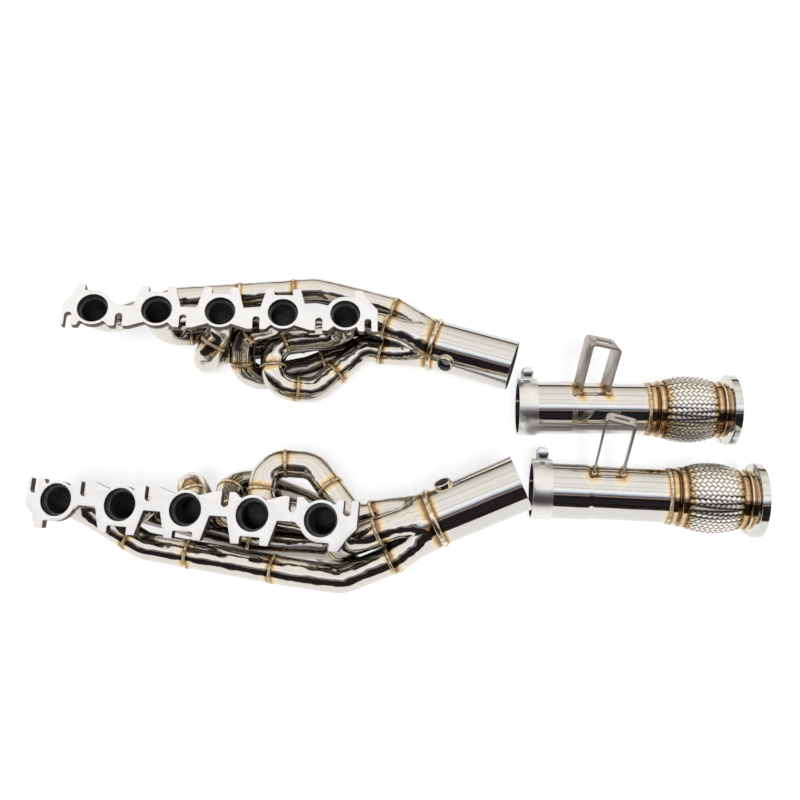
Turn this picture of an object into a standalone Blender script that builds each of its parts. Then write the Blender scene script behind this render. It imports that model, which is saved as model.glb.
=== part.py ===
"""Racing exhaust for a ten-cylinder engine, laid out on the floor as a set of four assemblies.

A left and a right header each gather five primary tubes into one outlet. Two link pipes carry
a slip socket with its band clamp, a hanger bracket, a braided flex joint and a V-band flange.
Metres, +Z up, floor at z = 0. +X runs from the cylinder ports towards the outlets.
"""

import math

import bmesh
import bpy
from mathutils import Matrix, Vector

# Clearances
WELD_GAP = 0.0003
SLIP_GAP = 0.0004
BOLT_GAP = 0.0004
TUBE_GAP = 0.0004

# Sheet and tube sizes
TUBE_OD = 0.0381
TUBE_WALL = 0.0015
OUTLET_OD = 0.0762
OUTLET_WALL = 0.0015
OUTLET_LENGTH = 0.128
OUTLET_RIM_HEIGHT = 0.003
OUTLET_RIM_WIDTH = 0.006

# Port flange, seen from the engine side: stud ears on the upper edge, feet on the lower one
PORT_COUNT = 5
PORT_PITCH = 0.090
PORT_BORE = 0.0434
PORT_BORE_DEPTH = 0.009
FLANGE_THICKNESS = 0.012
CROWN_WALL = 0.0038
CROWN_ANGLE = 50
RIM_WALL = 0.0063
RIM_ANGLE = 25
EAR_TOP = 0.027
EAR_HALF = 0.013
EAR_SHIFT = 0.007
END_EAR = 0.033
SLOT_WIDTH = 0.010
SLOT_DEPTH = 0.020
FOOT_LENGTH = 0.010
FOOT_INNER = 0.0135
FOOT_OUTER = 0.0245
WEB_EDGE = 0.005
WEB_HALF = 0.0115
END_PLATE = (0.042, 0.047)
END_DROP = 0.008
END_CHAMFER = (0.011, 0.012)

# Merge collector: five inlets on a ring, closing to one round outlet. Each hand has its own aim.
COLLECTOR_LENGTH = 0.067
COLLECTOR_AIMS = {1: (0.8943, 0.4467, 0.0253), -1: (0.9387, 0.3188, 0.1312)}
INLET_SPACING_GAP = 0.004
INLET_TURN = 15
SENSOR_ALONG = 0.032
SENSOR_TURN = 30
SENSOR_OD = 0.024
SENSOR_BORE = 0.017
SENSOR_HEIGHT = 0.008
SENSOR_CHAMFER = 0.001
MERGE_START = 0.25
MOUTH_CONE = (0.3, 0.8)

# Primary routes in lanes (one tube and its gap), from the last port: along the ports, up, outward.
# Each: straight drop behind the port, bend radius, corners, inlet of the collector, run into it.
LANE = TUBE_OD + TUBE_GAP
INLET_CENTRE = (1.877, -0.341, -2.358)
PRIMARIES = (
    (1.51, 1.13, ((-6.70, -1.30, -1.80), (-1.13, -1.78, -1.62)), 4, 1.86),
    (2.38, 0.97, ((-2.87, -0.84, -2.65), (0.00, -0.76, -2.73)), 0, 0.75),
    (
        1.26,
        0.85,
        ((-5.65, 1.52, -2.10), (-5.23, 0.19, -3.53), (-1.48, -0.53, -3.70), (-0.18, -1.02, -3.77)),
        3,
        1.52,
    ),
    (1.13, 0.91, ((-3.97, 0.02, -1.62), (-4.11, 1.55, -3.24), (-1.47, 0.75, -3.68)), 2, 0.78),
    (1.99, 0.84, ((-2.85, 0.30, -2.16), (-2.76, 2.05, -2.47), (-1.09, 2.07, -2.75)), 1, 0.80),
)

# Link pipe, measured along its axis from the slit end
PIPE_LENGTH = 0.192
SOCKET_LENGTH = 0.078
SOCKET_TAPER = 0.008
SLIT_COUNT = 4
SLIT_LENGTH = 0.027
SLIT_WIDTH = 0.003
BAND_WIDTH = 0.028
BAND_THICKNESS = 0.0017
LUG_GAP = 0.014
LUG_WIDTH = 0.016
LUG_HEIGHT = 0.020
LUG_TURN = 60
SPACER_WIDTH = 0.012
BOLT_DIAMETER = 0.0095
BOLT_HEIGHT = 0.012
BOLT_TAIL = 0.008
HEX_WIDTH = 0.0145
HEAD_HEIGHT = 0.0062
NUT_HEIGHT = 0.008
STRAP_THICKNESS = 0.003
STRAP_WIDTH = 0.030
STRAP_BEND = 0.006
STRAP_LEGS = (0.0875, 0.128)
STRAP_HEIGHTS = (0.079, 0.070)
STRAP_LEAN = 0.010
STRAP_SKEW = 0.2
STRAP_SLOT_LENGTH = 0.023
STRAP_SLOT_WIDTH = 0.0085
INLET_COLLAR = 0.023
INLET_COLLAR_STEPS = (0.08, 0.40, 0.48, 0.54, 0.64)
OUTLET_COLLAR = 0.010
OUTLET_COLLAR_STEPS = (0.1, 0.2)
COLLAR_STEP = 0.0024
CUFF_STEP = 0.0044
FLEX_LENGTH = 0.073
BRAID_OD = 0.100
BRAID_THICKNESS = 0.0015
BRAID_FULLNESS = 2.2
BRAID_STATIONS = (0, 0.12, 0.3, 0.5, 0.7, 0.88, 1)
BELLOWS_FOLDS = 5
BELLOWS_WALL = 0.001
BELLOWS_GAP = 0.0008
LINER_WALL = 0.0012
LINER_STOP = 0.012
VBAND_LENGTH = 0.024
VBAND_OD = 0.105
VBAND_HUB_STEP = 0.0056
VBAND_HUB_LENGTH = 0.008
VBAND_HUB_CHAMFER = 0.002
VBAND_NECK = 0.002
VBAND_CONE = 0.005
VBAND_SPIGOT = (0.0015, 0.044)

# Where each header lies: hand, place of its first port, turn in degrees
HEADERS = {
    "right": (1, (-0.4632, -0.1341, 0.1311), (19.3, -5.91, -7.09)),
    "left": (-1, (-0.4461, 0.1402, 0.1826), (9.76, 3.81, 1.0)),
}

# Where each link pipe lies: slit end's place from the header's mouth, heading, lean of its hanger
LINKS = {
    "right": ((0.0275, 0.0323), -3.87, 40),
    "left": ((0.0069, -0.0576), -1.83, 28),
}

# Facets
TUBE_BEVEL = 3
BEND_STEP = 48
ROUND_STEPS = 16
BAND_STEPS = 28
SMALL_STEPS = 10
EDGE_STEPS = 4
SMOOTH_ANGLE = 40
LOBE_STEPS = 6
LOFT_STATIONS = 6

# Sizes that follow from the ones above
TUBE_ID = TUBE_OD - 2 * TUBE_WALL
LAST_PORT = (PORT_COUNT - 1) * PORT_PITCH
CROWN = PORT_BORE / 2 + CROWN_WALL
RIM = PORT_BORE / 2 + RIM_WALL
FOOT = RIM + FOOT_LENGTH
OUTLET_RADIUS = OUTLET_OD / 2
OUTLET_BORE = OUTLET_RADIUS - OUTLET_WALL
INLET_RING = (TUBE_OD + INLET_SPACING_GAP) / 2 / math.sin(math.pi / PORT_COUNT)
OUTLET_RING = OUTLET_RADIUS - TUBE_OD / 2
SOCKET_BORE = OUTLET_RADIUS + SLIP_GAP
SOCKET_RADIUS = SOCKET_BORE + OUTLET_WALL
BAND_BORE = SOCKET_RADIUS + SLIP_GAP
BAND_RADIUS = BAND_BORE + BAND_THICKNESS
LUG_FACE = LUG_GAP / 2 + BAND_THICKNESS
BOLT_AXIS = BAND_RADIUS + BOLT_HEIGHT
CUFF_RADIUS = OUTLET_RADIUS + CUFF_STEP
BRAID_START = PIPE_LENGTH + INLET_COLLAR
BRAID_END = BRAID_START + FLEX_LENGTH
COLLAR_END = BRAID_END + OUTLET_COLLAR
LINK_END = COLLAR_END + VBAND_LENGTH
RIM_START = COLLAR_END + VBAND_HUB_LENGTH + VBAND_NECK + VBAND_CONE

STEEL = ((0.80, 0.79, 0.77), 0.12)
BLASTED = ((0.72, 0.71, 0.69), 0.55)
SATIN = ((0.66, 0.65, 0.62), 0.35)
ZINC = ((0.76, 0.81, 0.84), 0.22)
BRUSHED = ((0.52, 0.50, 0.47), 0.40)
BRAIDED = ((0.58, 0.56, 0.53), 0.38)


def clear_scene():
    for obj in list(bpy.data.objects):
        bpy.data.objects.remove(obj, do_unlink=True)


def new_collection(name, hidden=False):
    collection = bpy.data.collections.new(name)
    collection.hide_render = hidden
    bpy.context.scene.collection.children.link(collection)
    return collection


def new_material(name, finish):
    colour, roughness = finish
    material = bpy.data.materials.new(name)
    material.use_nodes = True
    shader = material.node_tree.nodes["Principled BSDF"]
    shader.inputs["Base Color"].default_value = (*colour, 1)
    shader.inputs["Metallic"].default_value = 1
    shader.inputs["Roughness"].default_value = roughness
    return material


def new_frame(name, matrix, parent=None):
    """An empty that carries one assembly, or stands on a joint's axis."""
    frame = bpy.data.objects.new(name, None)
    frame.empty_display_size = 0.03
    PARTS.objects.link(frame)
    frame.parent = parent
    frame.matrix_local = matrix
    return frame


def add_part(name, data, finish, parent, matrix=None):
    part = bpy.data.objects.new(name, data)
    data.materials.append(new_material(name, finish))
    PARTS.objects.link(part)
    part.parent = parent
    part.matrix_local = matrix or Matrix()
    return part


def add_cutter(name, data, parent, matrix=None):
    cutter = bpy.data.objects.new(name, data)
    cutter.hide_render = True
    cutter.display_type = "WIRE"
    CUTTERS.objects.link(cutter)
    cutter.parent = parent
    cutter.matrix_local = matrix or Matrix()
    return cutter


def combine(part, other, operation="DIFFERENCE"):
    modifier = part.modifiers.new(other.name, "BOOLEAN")
    modifier.operation = operation
    modifier.object = other


def spin(part, steps):
    """Turns a profile in the XZ plane round the Z axis."""
    screw = part.modifiers.new("turned", "SCREW")
    screw.axis = "Z"
    screw.steps = steps
    screw.render_steps = steps
    screw.use_merge_vertices = True
    screw.merge_threshold = 0.00001


def shade_round(mesh):
    """Smooth shading, with the corners of the shape left sharp."""
    mesh.shade_smooth()
    mesh.set_sharp_from_angle(angle=math.radians(SMOOTH_ANGLE))


def add_ring(name, outer, inner, finish, parent, matrix=None, steps=ROUND_STEPS):
    """A turned sleeve between two lists of (height, radius), both going up."""
    points = [(radius, 0, height) for height, radius in outer[::-1] + inner]
    mesh = bpy.data.meshes.new(name)
    mesh.from_pydata(points, [(i - 1, i) for i in range(1, len(points))] + [(len(points) - 1, 0)], [])
    part = add_part(name, mesh, finish, parent, matrix)
    spin(part, steps)
    return part


def plug_mesh(name, points, steps, places=((0, 0, 0),)):
    """Solid turned plugs, one at each place, from (height, radius) steps going up, with flat ends."""
    mesh = bpy.data.meshes.new(name)
    bm = bmesh.new()
    for place in places:
        rings = []
        for height, radius in points:
            ring = []
            for step in range(steps):
                turn = Matrix.Rotation(2 * math.pi * step / steps, 3, "Z")
                ring.append(bm.verts.new(turn @ Vector((radius, 0, height)) + Vector(place)))
            rings.append(ring)
        skin(bm, rings)
    bm.to_mesh(mesh)
    bm.free()
    shade_round(mesh)
    return mesh


def skin(bm, rings):
    """Faces between closed rings of equal count, and a face over each end."""
    for low, high in zip(rings, rings[1:]):
        for i in range(len(low)):
            bm.faces.new((low[i - 1], low[i], high[i], high[i - 1]))
    bm.faces.new(rings[0])
    bm.faces.new(rings[-1])
    bmesh.ops.recalc_face_normals(bm, faces=bm.faces)


def rod(name, length, radius, steps=SMALL_STEPS):
    """A cylinder or prism up the Z axis, from the origin."""
    mesh = bpy.data.meshes.new(name)
    bm = bmesh.new()
    lift = Matrix.Translation((0, 0, length / 2))
    bmesh.ops.create_cone(
        bm, cap_ends=True, segments=steps, radius1=radius, radius2=radius, depth=length, matrix=lift
    )
    bm.to_mesh(mesh)
    bm.free()
    shade_round(mesh)
    return mesh


def block(name, low, high):
    """A box between two corners."""
    mesh = bpy.data.meshes.new(name)
    bm = bmesh.new()
    size = Vector(high) - Vector(low)
    middle = Matrix.Translation((Vector(high) + Vector(low)) / 2)
    bmesh.ops.create_cube(bm, size=1, matrix=middle @ Matrix.Diagonal((*size, 1)))
    bm.to_mesh(mesh)
    bm.free()
    return mesh


def solid_mesh(name, curve):
    """The mesh of a filled or extruded curve, with its loose caps welded on."""
    guide = bpy.data.objects.new(name, curve)
    CUTTERS.objects.link(guide)
    evaluated = guide.evaluated_get(bpy.context.evaluated_depsgraph_get())
    mesh = bpy.data.meshes.new_from_object(evaluated)
    bpy.data.objects.remove(guide)
    bm = bmesh.new()
    bm.from_mesh(mesh)
    bmesh.ops.remove_doubles(bm, verts=bm.verts, dist=0.00001)
    flat = math.radians(1)
    bmesh.ops.dissolve_limit(bm, angle_limit=flat, verts=bm.verts, edges=bm.edges)
    bmesh.ops.recalc_face_normals(bm, faces=bm.faces)
    bm.to_mesh(mesh)
    bm.free()
    mesh.materials.clear()
    return mesh


def outline_mesh(name, outlines, thickness):
    """Flat outlines in XY, filled, holes included, half the thickness to either side."""
    curve = bpy.data.curves.new(name, "CURVE")
    curve.dimensions = "2D"
    curve.fill_mode = "BOTH"
    curve.extrude = thickness / 2
    for points in outlines:
        spline = curve.splines.new("POLY")
        spline.points.add(len(points) - 1)
        for target, (x, y) in zip(spline.points, points):
            target.co = (x, y, 0, 1)
        spline.use_cyclic_u = True
    return solid_mesh(name, curve)


def route_curve(name, points):
    curve = bpy.data.curves.new(name, "CURVE")
    curve.dimensions = "3D"
    spline = curve.splines.new("POLY")
    spline.points.add(len(points) - 1)
    for target, point in zip(spline.points, points):
        target.co = (*point, 1)
    return curve


def arc(centre, radius, start, end, steps):
    """Points on an arc in XY, both ends included, angles in degrees."""
    points = []
    for step in range(steps + 1):
        angle = math.radians(start + (end - start) * step / steps)
        points.append((centre[0] + radius * math.cos(angle), centre[1] + radius * math.sin(angle)))
    return points


def rounded(corners, radius):
    """A centre line of straight runs joined by arcs of the bend radius, where the runs have room."""
    turns = []
    for before, corner, after in zip(corners, corners[1:], corners[2:]):
        into = (corner - before).normalized()
        out = (after - corner).normalized()
        turns.append((corner, into, out, into.angle(out)))
    reach = [0, *(radius * math.tan(turn[3] / 2) for turn in turns), 0]
    room = []
    for i in range(len(corners) - 1):
        needed = reach[i] + reach[i + 1]
        room.append(min(1, (corners[i + 1] - corners[i]).length / needed))
    points = [corners[0]]
    for i, (corner, into, out, angle) in enumerate(turns):
        fit = min(room[i], room[i + 1])
        start = corner - into * reach[i + 1] * fit
        centre = corner + (out - into).normalized() * radius * fit / math.cos(angle / 2)
        steps = max(1, math.ceil(math.degrees(angle) / BEND_STEP))
        for step in range(steps + 1):
            swept = angle * step / steps
            side = (start - centre) * math.cos(swept)
            points.append(centre + side + into * radius * fit * math.sin(swept))
    points.append(corners[-1])
    return points


def slot_edge(u):
    """An open stud slot in the upper edge, from its left lip to its right one."""
    bottom = EAR_TOP - SLOT_DEPTH + SLOT_WIDTH / 2
    lips = [(u - SLOT_WIDTH / 2, EAR_TOP), (u + SLOT_WIDTH / 2, EAR_TOP)]
    return [lips[0], *arc((u, bottom), SLOT_WIDTH / 2, 180, 360, EDGE_STEPS), lips[1]]


def flange_upper_edge():
    """Crowns over the ports with a slotted ear between each pair and at both ends, left to right."""
    points = [(-END_PLATE[0], EAR_TOP), *slot_edge(-END_EAR), (EAR_HALF - END_EAR, EAR_TOP)]
    for index in range(PORT_COUNT):
        u = index * PORT_PITCH
        points += arc((u, 0), CROWN, 180 - CROWN_ANGLE, CROWN_ANGLE, EDGE_STEPS)
        if index == PORT_COUNT - 1:
            break
        shift = math.copysign(EAR_SHIFT, index + 1 - PORT_COUNT / 2)
        ear = u + PORT_PITCH / 2 + shift
        points += [(ear - EAR_HALF, EAR_TOP), *slot_edge(ear), (ear + EAR_HALF, EAR_TOP)]
    points += [(LAST_PORT + END_EAR - EAR_HALF, EAR_TOP), *slot_edge(LAST_PORT + END_EAR)]
    return points + [(LAST_PORT + END_PLATE[1], EAR_TOP)]


def flange_lower_edge():
    """Feet beside the ports with a tapered window between each pair, right to left."""
    chamfer, fall = END_CHAMFER
    right = LAST_PORT + END_PLATE[1]
    points = [(right, -END_DROP), (right - chamfer, -END_DROP - fall)]
    for index in reversed(range(PORT_COUNT)):
        u = index * PORT_PITCH
        if index > 0:
            points += [(u + FOOT_OUTER, -FOOT), (u + FOOT_INNER, -FOOT), (u + FOOT_INNER, -RIM)]
        else:
            points += arc((u, 0), RIM, -RIM_ANGLE, -90, EDGE_STEPS)
        if index < PORT_COUNT - 1:
            points += [(u - FOOT_INNER, -RIM), (u - FOOT_INNER, -FOOT), (u - FOOT_OUTER, -FOOT)]
        else:
            points += arc((u, 0), RIM, -90, RIM_ANGLE - 180, EDGE_STEPS)
        if index > 0:
            web = u - PORT_PITCH / 2
            points += [(web + WEB_HALF, -WEB_EDGE), (web - WEB_HALF, -WEB_EDGE)]
    left = -END_PLATE[0]
    return points + [(left + chamfer, -END_DROP - fall), (left, -END_DROP)]


def mirrored(point, hand):
    """A point of the right header's frame, carried to the other bank where hand is -1."""
    return Vector((point[0], hand * point[1], point[2]))


def collector_axes(hand):
    """Outlet weld, axis, and the two directions across the axis from which inlets are counted."""
    aim = Vector(COLLECTOR_AIMS[hand]).normalized()
    centre = Vector((LAST_PORT, 0, 0)) + LANE * Vector(INLET_CENTRE)
    weld = mirrored(centre + aim * COLLECTOR_LENGTH, hand)
    first = (Vector((0, 0, 1)) - aim.z * aim).normalized()
    second = first.cross(aim)
    return weld, mirrored(aim, hand), mirrored(first, hand), mirrored(second, hand)


def collector_point(hand, along, radius, angle):
    """A point of the collector: distance from its inlet face, then polar across its axis."""
    weld, aim, first, second = collector_axes(hand)
    spoke = first * math.cos(angle) + second * math.sin(angle)
    return weld + aim * (along - COLLECTOR_LENGTH) + spoke * radius


def inlet_angle(inlet):
    return math.radians(INLET_TURN) + 2 * math.pi * inlet / PORT_COUNT


def merge_radius(part_way, off_lobe):
    """Outer radius of the collector: five round lobes whose valleys fill out into a circle."""
    ring = INLET_RING + (OUTLET_RING - INLET_RING) * part_way
    lobe = TUBE_OD / 2
    union = ring * math.cos(off_lobe)
    union += math.sqrt(max(0, lobe**2 - (ring * math.sin(off_lobe)) ** 2))
    fill = max(0, (part_way - MERGE_START) / (1 - MERGE_START))
    fill = fill * fill * (3 - 2 * fill)
    return union + fill * (ring + lobe - union)


def along_matrix(start, direction):
    """A frame at a point with its Z axis along a direction."""
    return Matrix.Translation(start) @ Vector(direction).to_track_quat("Z", "X").to_matrix().to_4x4()


def add_flange(bank, hand, header):
    edge = [(u, hand * v) for u, v in flange_upper_edge() + flange_lower_edge()]
    ports = [index * PORT_PITCH for index in range(PORT_COUNT)]
    holes = [arc((u, 0), TUBE_ID / 2, 0, 360, ROUND_STEPS)[1:] for u in ports]
    mesh = outline_mesh("flange", [edge, *holes], FLANGE_THICKNESS)
    middle = Matrix.Translation((0, 0, -FLANGE_THICKNESS / 2))
    flange = add_part(f"header_flange_{bank}", mesh, BLASTED, header, middle)
    steps = [(-PORT_BORE_DEPTH, PORT_BORE / 2), (FLANGE_THICKNESS, PORT_BORE / 2)]
    bores = plug_mesh("bores", steps, ROUND_STEPS, [(u, 0, 0) for u in ports])
    combine(flange, add_cutter(f"port_bores_{bank}", bores, header))


def add_primary(bank, hand, header, index):
    drop, bend, corners, inlet, approach = PRIMARIES[index]
    u = index * PORT_PITCH
    route = [Vector((u, 0, -FLANGE_THICKNESS - WELD_GAP)), Vector((u, 0, -drop * LANE))]
    for along, up, out in corners:
        route.append(mirrored((LAST_PORT + along * LANE, up * LANE, out * LANE), hand))
    angle = inlet_angle(inlet)
    route.append(collector_point(hand, -approach * LANE, INLET_RING, angle))
    route.append(collector_point(hand, -WELD_GAP, INLET_RING, angle))
    curve = route_curve("primary", rounded(route, bend * LANE))
    curve.bevel_depth = TUBE_OD / 2
    curve.bevel_resolution = TUBE_BEVEL
    tube = add_part(f"primary_{index + 1}_{bank}", curve, STEEL, header)
    wall = tube.modifiers.new("wall", "SOLIDIFY")
    wall.thickness = TUBE_WALL
    wall.offset = -1


def add_collector(bank, hand, header):
    """The merge: a loft from five lobes to a circle, opened by five bores and the outlet cone."""
    mesh = bpy.data.meshes.new("collector")
    bm = bmesh.new()
    rings = []
    count = LOBE_STEPS * PORT_COUNT
    for station in range(LOFT_STATIONS):
        part_way = station / (LOFT_STATIONS - 1)
        ring = []
        for step in range(count):
            from_lobe = (step % LOBE_STEPS) / LOBE_STEPS
            off_lobe = min(from_lobe, 1 - from_lobe) * 2 * math.pi / PORT_COUNT
            angle = inlet_angle(step / LOBE_STEPS)
            radius = merge_radius(part_way, off_lobe)
            point = collector_point(hand, part_way * COLLECTOR_LENGTH, radius, angle)
            ring.append(bm.verts.new(point))
        rings.append(ring)
    skin(bm, rings)
    bm.to_mesh(mesh)
    bm.free()
    shade_round(mesh)
    collector = add_part(f"collector_{bank}", mesh, STEEL, header)
    for inlet in range(PORT_COUNT):
        angle = inlet_angle(inlet)
        slope = (OUTLET_RING - INLET_RING) / COLLECTOR_LENGTH
        start = collector_point(hand, -TUBE_OD, INLET_RING - slope * TUBE_OD, angle)
        end = collector_point(hand, COLLECTOR_LENGTH + TUBE_OD, OUTLET_RING + slope * TUBE_OD, angle)
        bore = rod("bore", (end - start).length, TUBE_ID / 2)
        place = along_matrix(start, end - start)
        combine(collector, add_cutter(f"bore_{inlet + 1}_{bank}", bore, header, place))
    weld, aim, _, _ = collector_axes(hand)
    depth, throat = MOUTH_CONE
    cone = [(-depth * COLLECTOR_LENGTH, throat * OUTLET_BORE), (0, OUTLET_BORE)]
    mouth = plug_mesh("mouth", [*cone, (TUBE_OD, OUTLET_BORE)], ROUND_STEPS)
    combine(collector, add_cutter(f"mouth_{bank}", mouth, header, along_matrix(weld, aim)))


def add_outlet(bank, hand, header):
    """The slip outlet with its weld rim, and the sensor boss standing on it."""
    weld, aim, first, second = collector_axes(hand)
    rim = OUTLET_RADIUS + OUTLET_RIM_HEIGHT
    outer = [
        (WELD_GAP, rim),
        (OUTLET_RIM_WIDTH, rim),
        (OUTLET_RIM_WIDTH + OUTLET_RIM_HEIGHT, OUTLET_RADIUS),
        (OUTLET_LENGTH, OUTLET_RADIUS),
    ]
    inner = [(WELD_GAP, OUTLET_BORE), (OUTLET_LENGTH, OUTLET_BORE)]
    axis = along_matrix(weld, aim)
    tube = add_ring(f"outlet_tube_{bank}", outer, inner, STEEL, header, axis)
    turn = math.radians(SENSOR_TURN)
    spoke = second * math.cos(turn) + first * math.sin(turn)
    boss = along_matrix(weld + aim * SENSOR_ALONG, spoke)
    hole = add_cutter(f"sensor_hole_{bank}", rod("hole", OUTLET_OD, SENSOR_BORE / 2), header, boss)
    combine(tube, hole)
    top = OUTLET_RADIUS + SENSOR_HEIGHT
    seat = OUTLET_RADIUS - SENSOR_HEIGHT
    outer = [(seat, SENSOR_OD / 2), (top - SENSOR_CHAMFER, SENSOR_OD / 2)]
    outer.append((top, SENSOR_OD / 2 - SENSOR_CHAMFER))
    inner = [(seat, SENSOR_BORE / 2), (top, SENSOR_BORE / 2)]
    bung = add_ring(f"sensor_bung_{bank}", outer, inner, STEEL, header, boss, SMALL_STEPS)
    saddle = rod("saddle", OUTLET_LENGTH, OUTLET_RADIUS + WELD_GAP, BAND_STEPS)
    combine(bung, add_cutter(f"sensor_saddle_{bank}", saddle, header, axis))


def add_header(bank):
    """One header. The answer is where the middle of its outlet's mouth lies."""
    hand, place, turn = HEADERS[bank]
    matrix = Matrix.Translation(place)
    for axis, degrees in zip("ZYX", turn[::-1]):
        matrix = matrix @ Matrix.Rotation(math.radians(degrees), 4, axis)
    header = new_frame(f"header_frame_{bank}", matrix)
    add_flange(bank, hand, header)
    for index in range(PORT_COUNT):
        add_primary(bank, hand, header, index)
    add_collector(bank, hand, header)
    add_outlet(bank, hand, header)
    weld, aim, _, _ = collector_axes(hand)
    return matrix @ (weld + aim * OUTLET_LENGTH)


def pipe_outline(gap):
    """The link pipe's outside from its slit end, socket first, with a gap round it."""
    socket = SOCKET_RADIUS + gap
    plain = OUTLET_RADIUS + gap
    swage = SOCKET_LENGTH + SOCKET_TAPER
    return [(0, socket), (SOCKET_LENGTH, socket), (swage, plain), (PIPE_LENGTH, plain)]


def add_pipe(bank, link):
    """The pipe with its swaged slip socket, slit so that the clamp can close it."""
    outer = pipe_outline(0)
    inner = pipe_outline(-OUTLET_WALL)
    pipe = add_ring(f"link_pipe_{bank}", outer, inner, STEEL, link)
    for index in range(SLIT_COUNT):
        half = SLIT_WIDTH / 2
        saw = block("slit", (0, -half, -SLIT_LENGTH), (2 * SOCKET_RADIUS, half, SLIT_LENGTH))
        turn = Matrix.Rotation(2 * math.pi * (index + 0.5) / SLIT_COUNT, 4, "Z")
        combine(pipe, add_cutter(f"slit_{index + 1}_{bank}", saw, link, turn))


def band_outline():
    """The clamp band seen along the pipe: an open hoop with its two ends turned up as lugs."""
    top = BAND_RADIUS + LUG_HEIGHT
    lug = math.degrees(math.asin(LUG_FACE / BAND_RADIUS))
    root = math.degrees(math.asin(LUG_GAP / 2 / BAND_BORE))
    points = [(top, LUG_GAP / 2), (top, LUG_FACE)]
    points += arc((0, 0), BAND_RADIUS, lug, 360 - lug, BAND_STEPS)
    points += [(top, -LUG_FACE), (top, -LUG_GAP / 2)]
    return points + arc((0, 0), BAND_BORE, 360 - root, root, BAND_STEPS)


def add_clamp(bank, link):
    """Band, reaction block, bolt and nut. The band's frame has X up its lugs and Y along the bolt."""
    turn = Matrix.Rotation(math.radians(-LUG_TURN), 4, "Z")
    clamp = new_frame(f"clamp_frame_{bank}", Matrix.Translation((0, 0, BAND_WIDTH / 2)) @ turn, link)
    mesh = outline_mesh("band", [band_outline()], BAND_WIDTH)
    band = add_part(f"clamp_band_{bank}", mesh, SATIN, clamp)
    top = BAND_RADIUS + 2 * LUG_HEIGHT
    low = BAND_RADIUS + BAND_THICKNESS
    for name, end in (("near", -1), ("far", 1)):
        corners = sorted((end * LUG_WIDTH / 2, end * BAND_WIDTH))
        trim = block("trim", (low, -LUG_GAP, corners[0]), (top, LUG_GAP, corners[1]))
        combine(band, add_cutter(f"lug_trim_{name}_{bank}", trim, clamp))
    half = LUG_GAP / 2 - WELD_GAP
    foot = SOCKET_RADIUS + SLIP_GAP
    width = SPACER_WIDTH / 2
    mesh = block("spacer", (foot, -half, -width), (BAND_RADIUS + LUG_HEIGHT, half, width))
    spacer = add_part(f"clamp_spacer_{bank}", mesh, ZINC, clamp)
    across = Matrix.Translation((BOLT_AXIS, 0, 0)) @ Matrix.Rotation(math.radians(-90), 4, "X")
    reach = LUG_FACE + WELD_GAP
    through = rod("bolt_hole", 4 * LUG_FACE, BOLT_DIAMETER / 2 + BOLT_GAP)
    middle = Matrix.Translation((0, 0, -2 * LUG_FACE))
    hole = add_cutter(f"bolt_hole_{bank}", through, clamp, across @ middle)
    combine(band, hole)
    combine(spacer, hole)
    hex_radius = HEX_WIDTH / 2 / math.cos(math.pi / 6)
    tail = reach + NUT_HEIGHT + BOLT_TAIL
    head = rod("head", HEAD_HEIGHT, hex_radius, 6)
    head.transform(Matrix.Translation((0, 0, reach)))
    bolt = add_part(f"clamp_bolt_{bank}", head, ZINC, clamp, across)
    shank = rod("shank", tail + reach + HEAD_HEIGHT / 2, BOLT_DIAMETER / 2)
    shank.transform(Matrix.Translation((0, 0, -tail)))
    combine(bolt, add_cutter(f"bolt_shank_{bank}", shank, clamp, across), "UNION")
    blank = rod("nut", NUT_HEIGHT, hex_radius, 6)
    blank.transform(Matrix.Translation((0, 0, -reach - NUT_HEIGHT)))
    nut = add_part(f"clamp_nut_{bank}", blank, ZINC, clamp, across)
    combine(nut, hole)


def add_bracket(bank, link, turn):
    """The hanger: a leaning, skewed strap bent to a U, saddle-cut to the pipe, with a slot in its top."""
    tops = []
    feet = []
    depth = OUTLET_RADIUS / 2
    for along, height in zip(STRAP_LEGS, STRAP_HEIGHTS):
        tops.append(Vector((along + STRAP_LEAN, OUTLET_RADIUS + height, 0)))
        feet.append(Vector((along - STRAP_LEAN * depth / height, OUTLET_RADIUS - depth, 0)))
    skew = Matrix.Shear("XY", 4, (-HEADERS[bank][0] * STRAP_SKEW, 0))
    curve = route_curve("strap", rounded([feet[0], *tops, feet[1]], STRAP_BEND))
    curve.extrude = STRAP_WIDTH / 2
    mesh = solid_mesh("strap", curve)
    mesh.transform(skew)
    upright = Matrix.Rotation(math.radians(-turn), 4, "Z")
    swap = Matrix(((0, 1, 0, 0), (0, 0, 1, 0), (1, 0, 0, 0), (0, 0, 0, 1)))
    bracket = add_part(f"bracket_{bank}", mesh, BRUSHED, link, upright @ swap)
    plate = bracket.modifiers.new("plate", "SOLIDIFY")
    plate.thickness = STRAP_THICKNESS
    plate.offset = 0
    seat = plug_mesh("seat", pipe_outline(WELD_GAP), BAND_STEPS)
    combine(bracket, add_cutter(f"bracket_seat_{bank}", seat, link))
    straight = (STRAP_SLOT_LENGTH - STRAP_SLOT_WIDTH) / 2
    ends = arc((straight, 0), STRAP_SLOT_WIDTH / 2, -90, 90, LOBE_STEPS)
    ends += arc((-straight, 0), STRAP_SLOT_WIDTH / 2, 90, 270, LOBE_STEPS)
    slot = outline_mesh("slot", [ends], 4 * STRAP_THICKNESS)
    run = tops[1] - tops[0]
    lie = Matrix.Rotation(math.atan2(run.y, run.x), 4, "Z") @ Matrix.Rotation(math.radians(90), 4, "X")
    slot.transform(skew @ Matrix.Translation((tops[0] + tops[1]) / 2) @ lie)
    combine(bracket, add_cutter(f"bracket_slot_{bank}", slot, link, upright @ swap))


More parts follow.
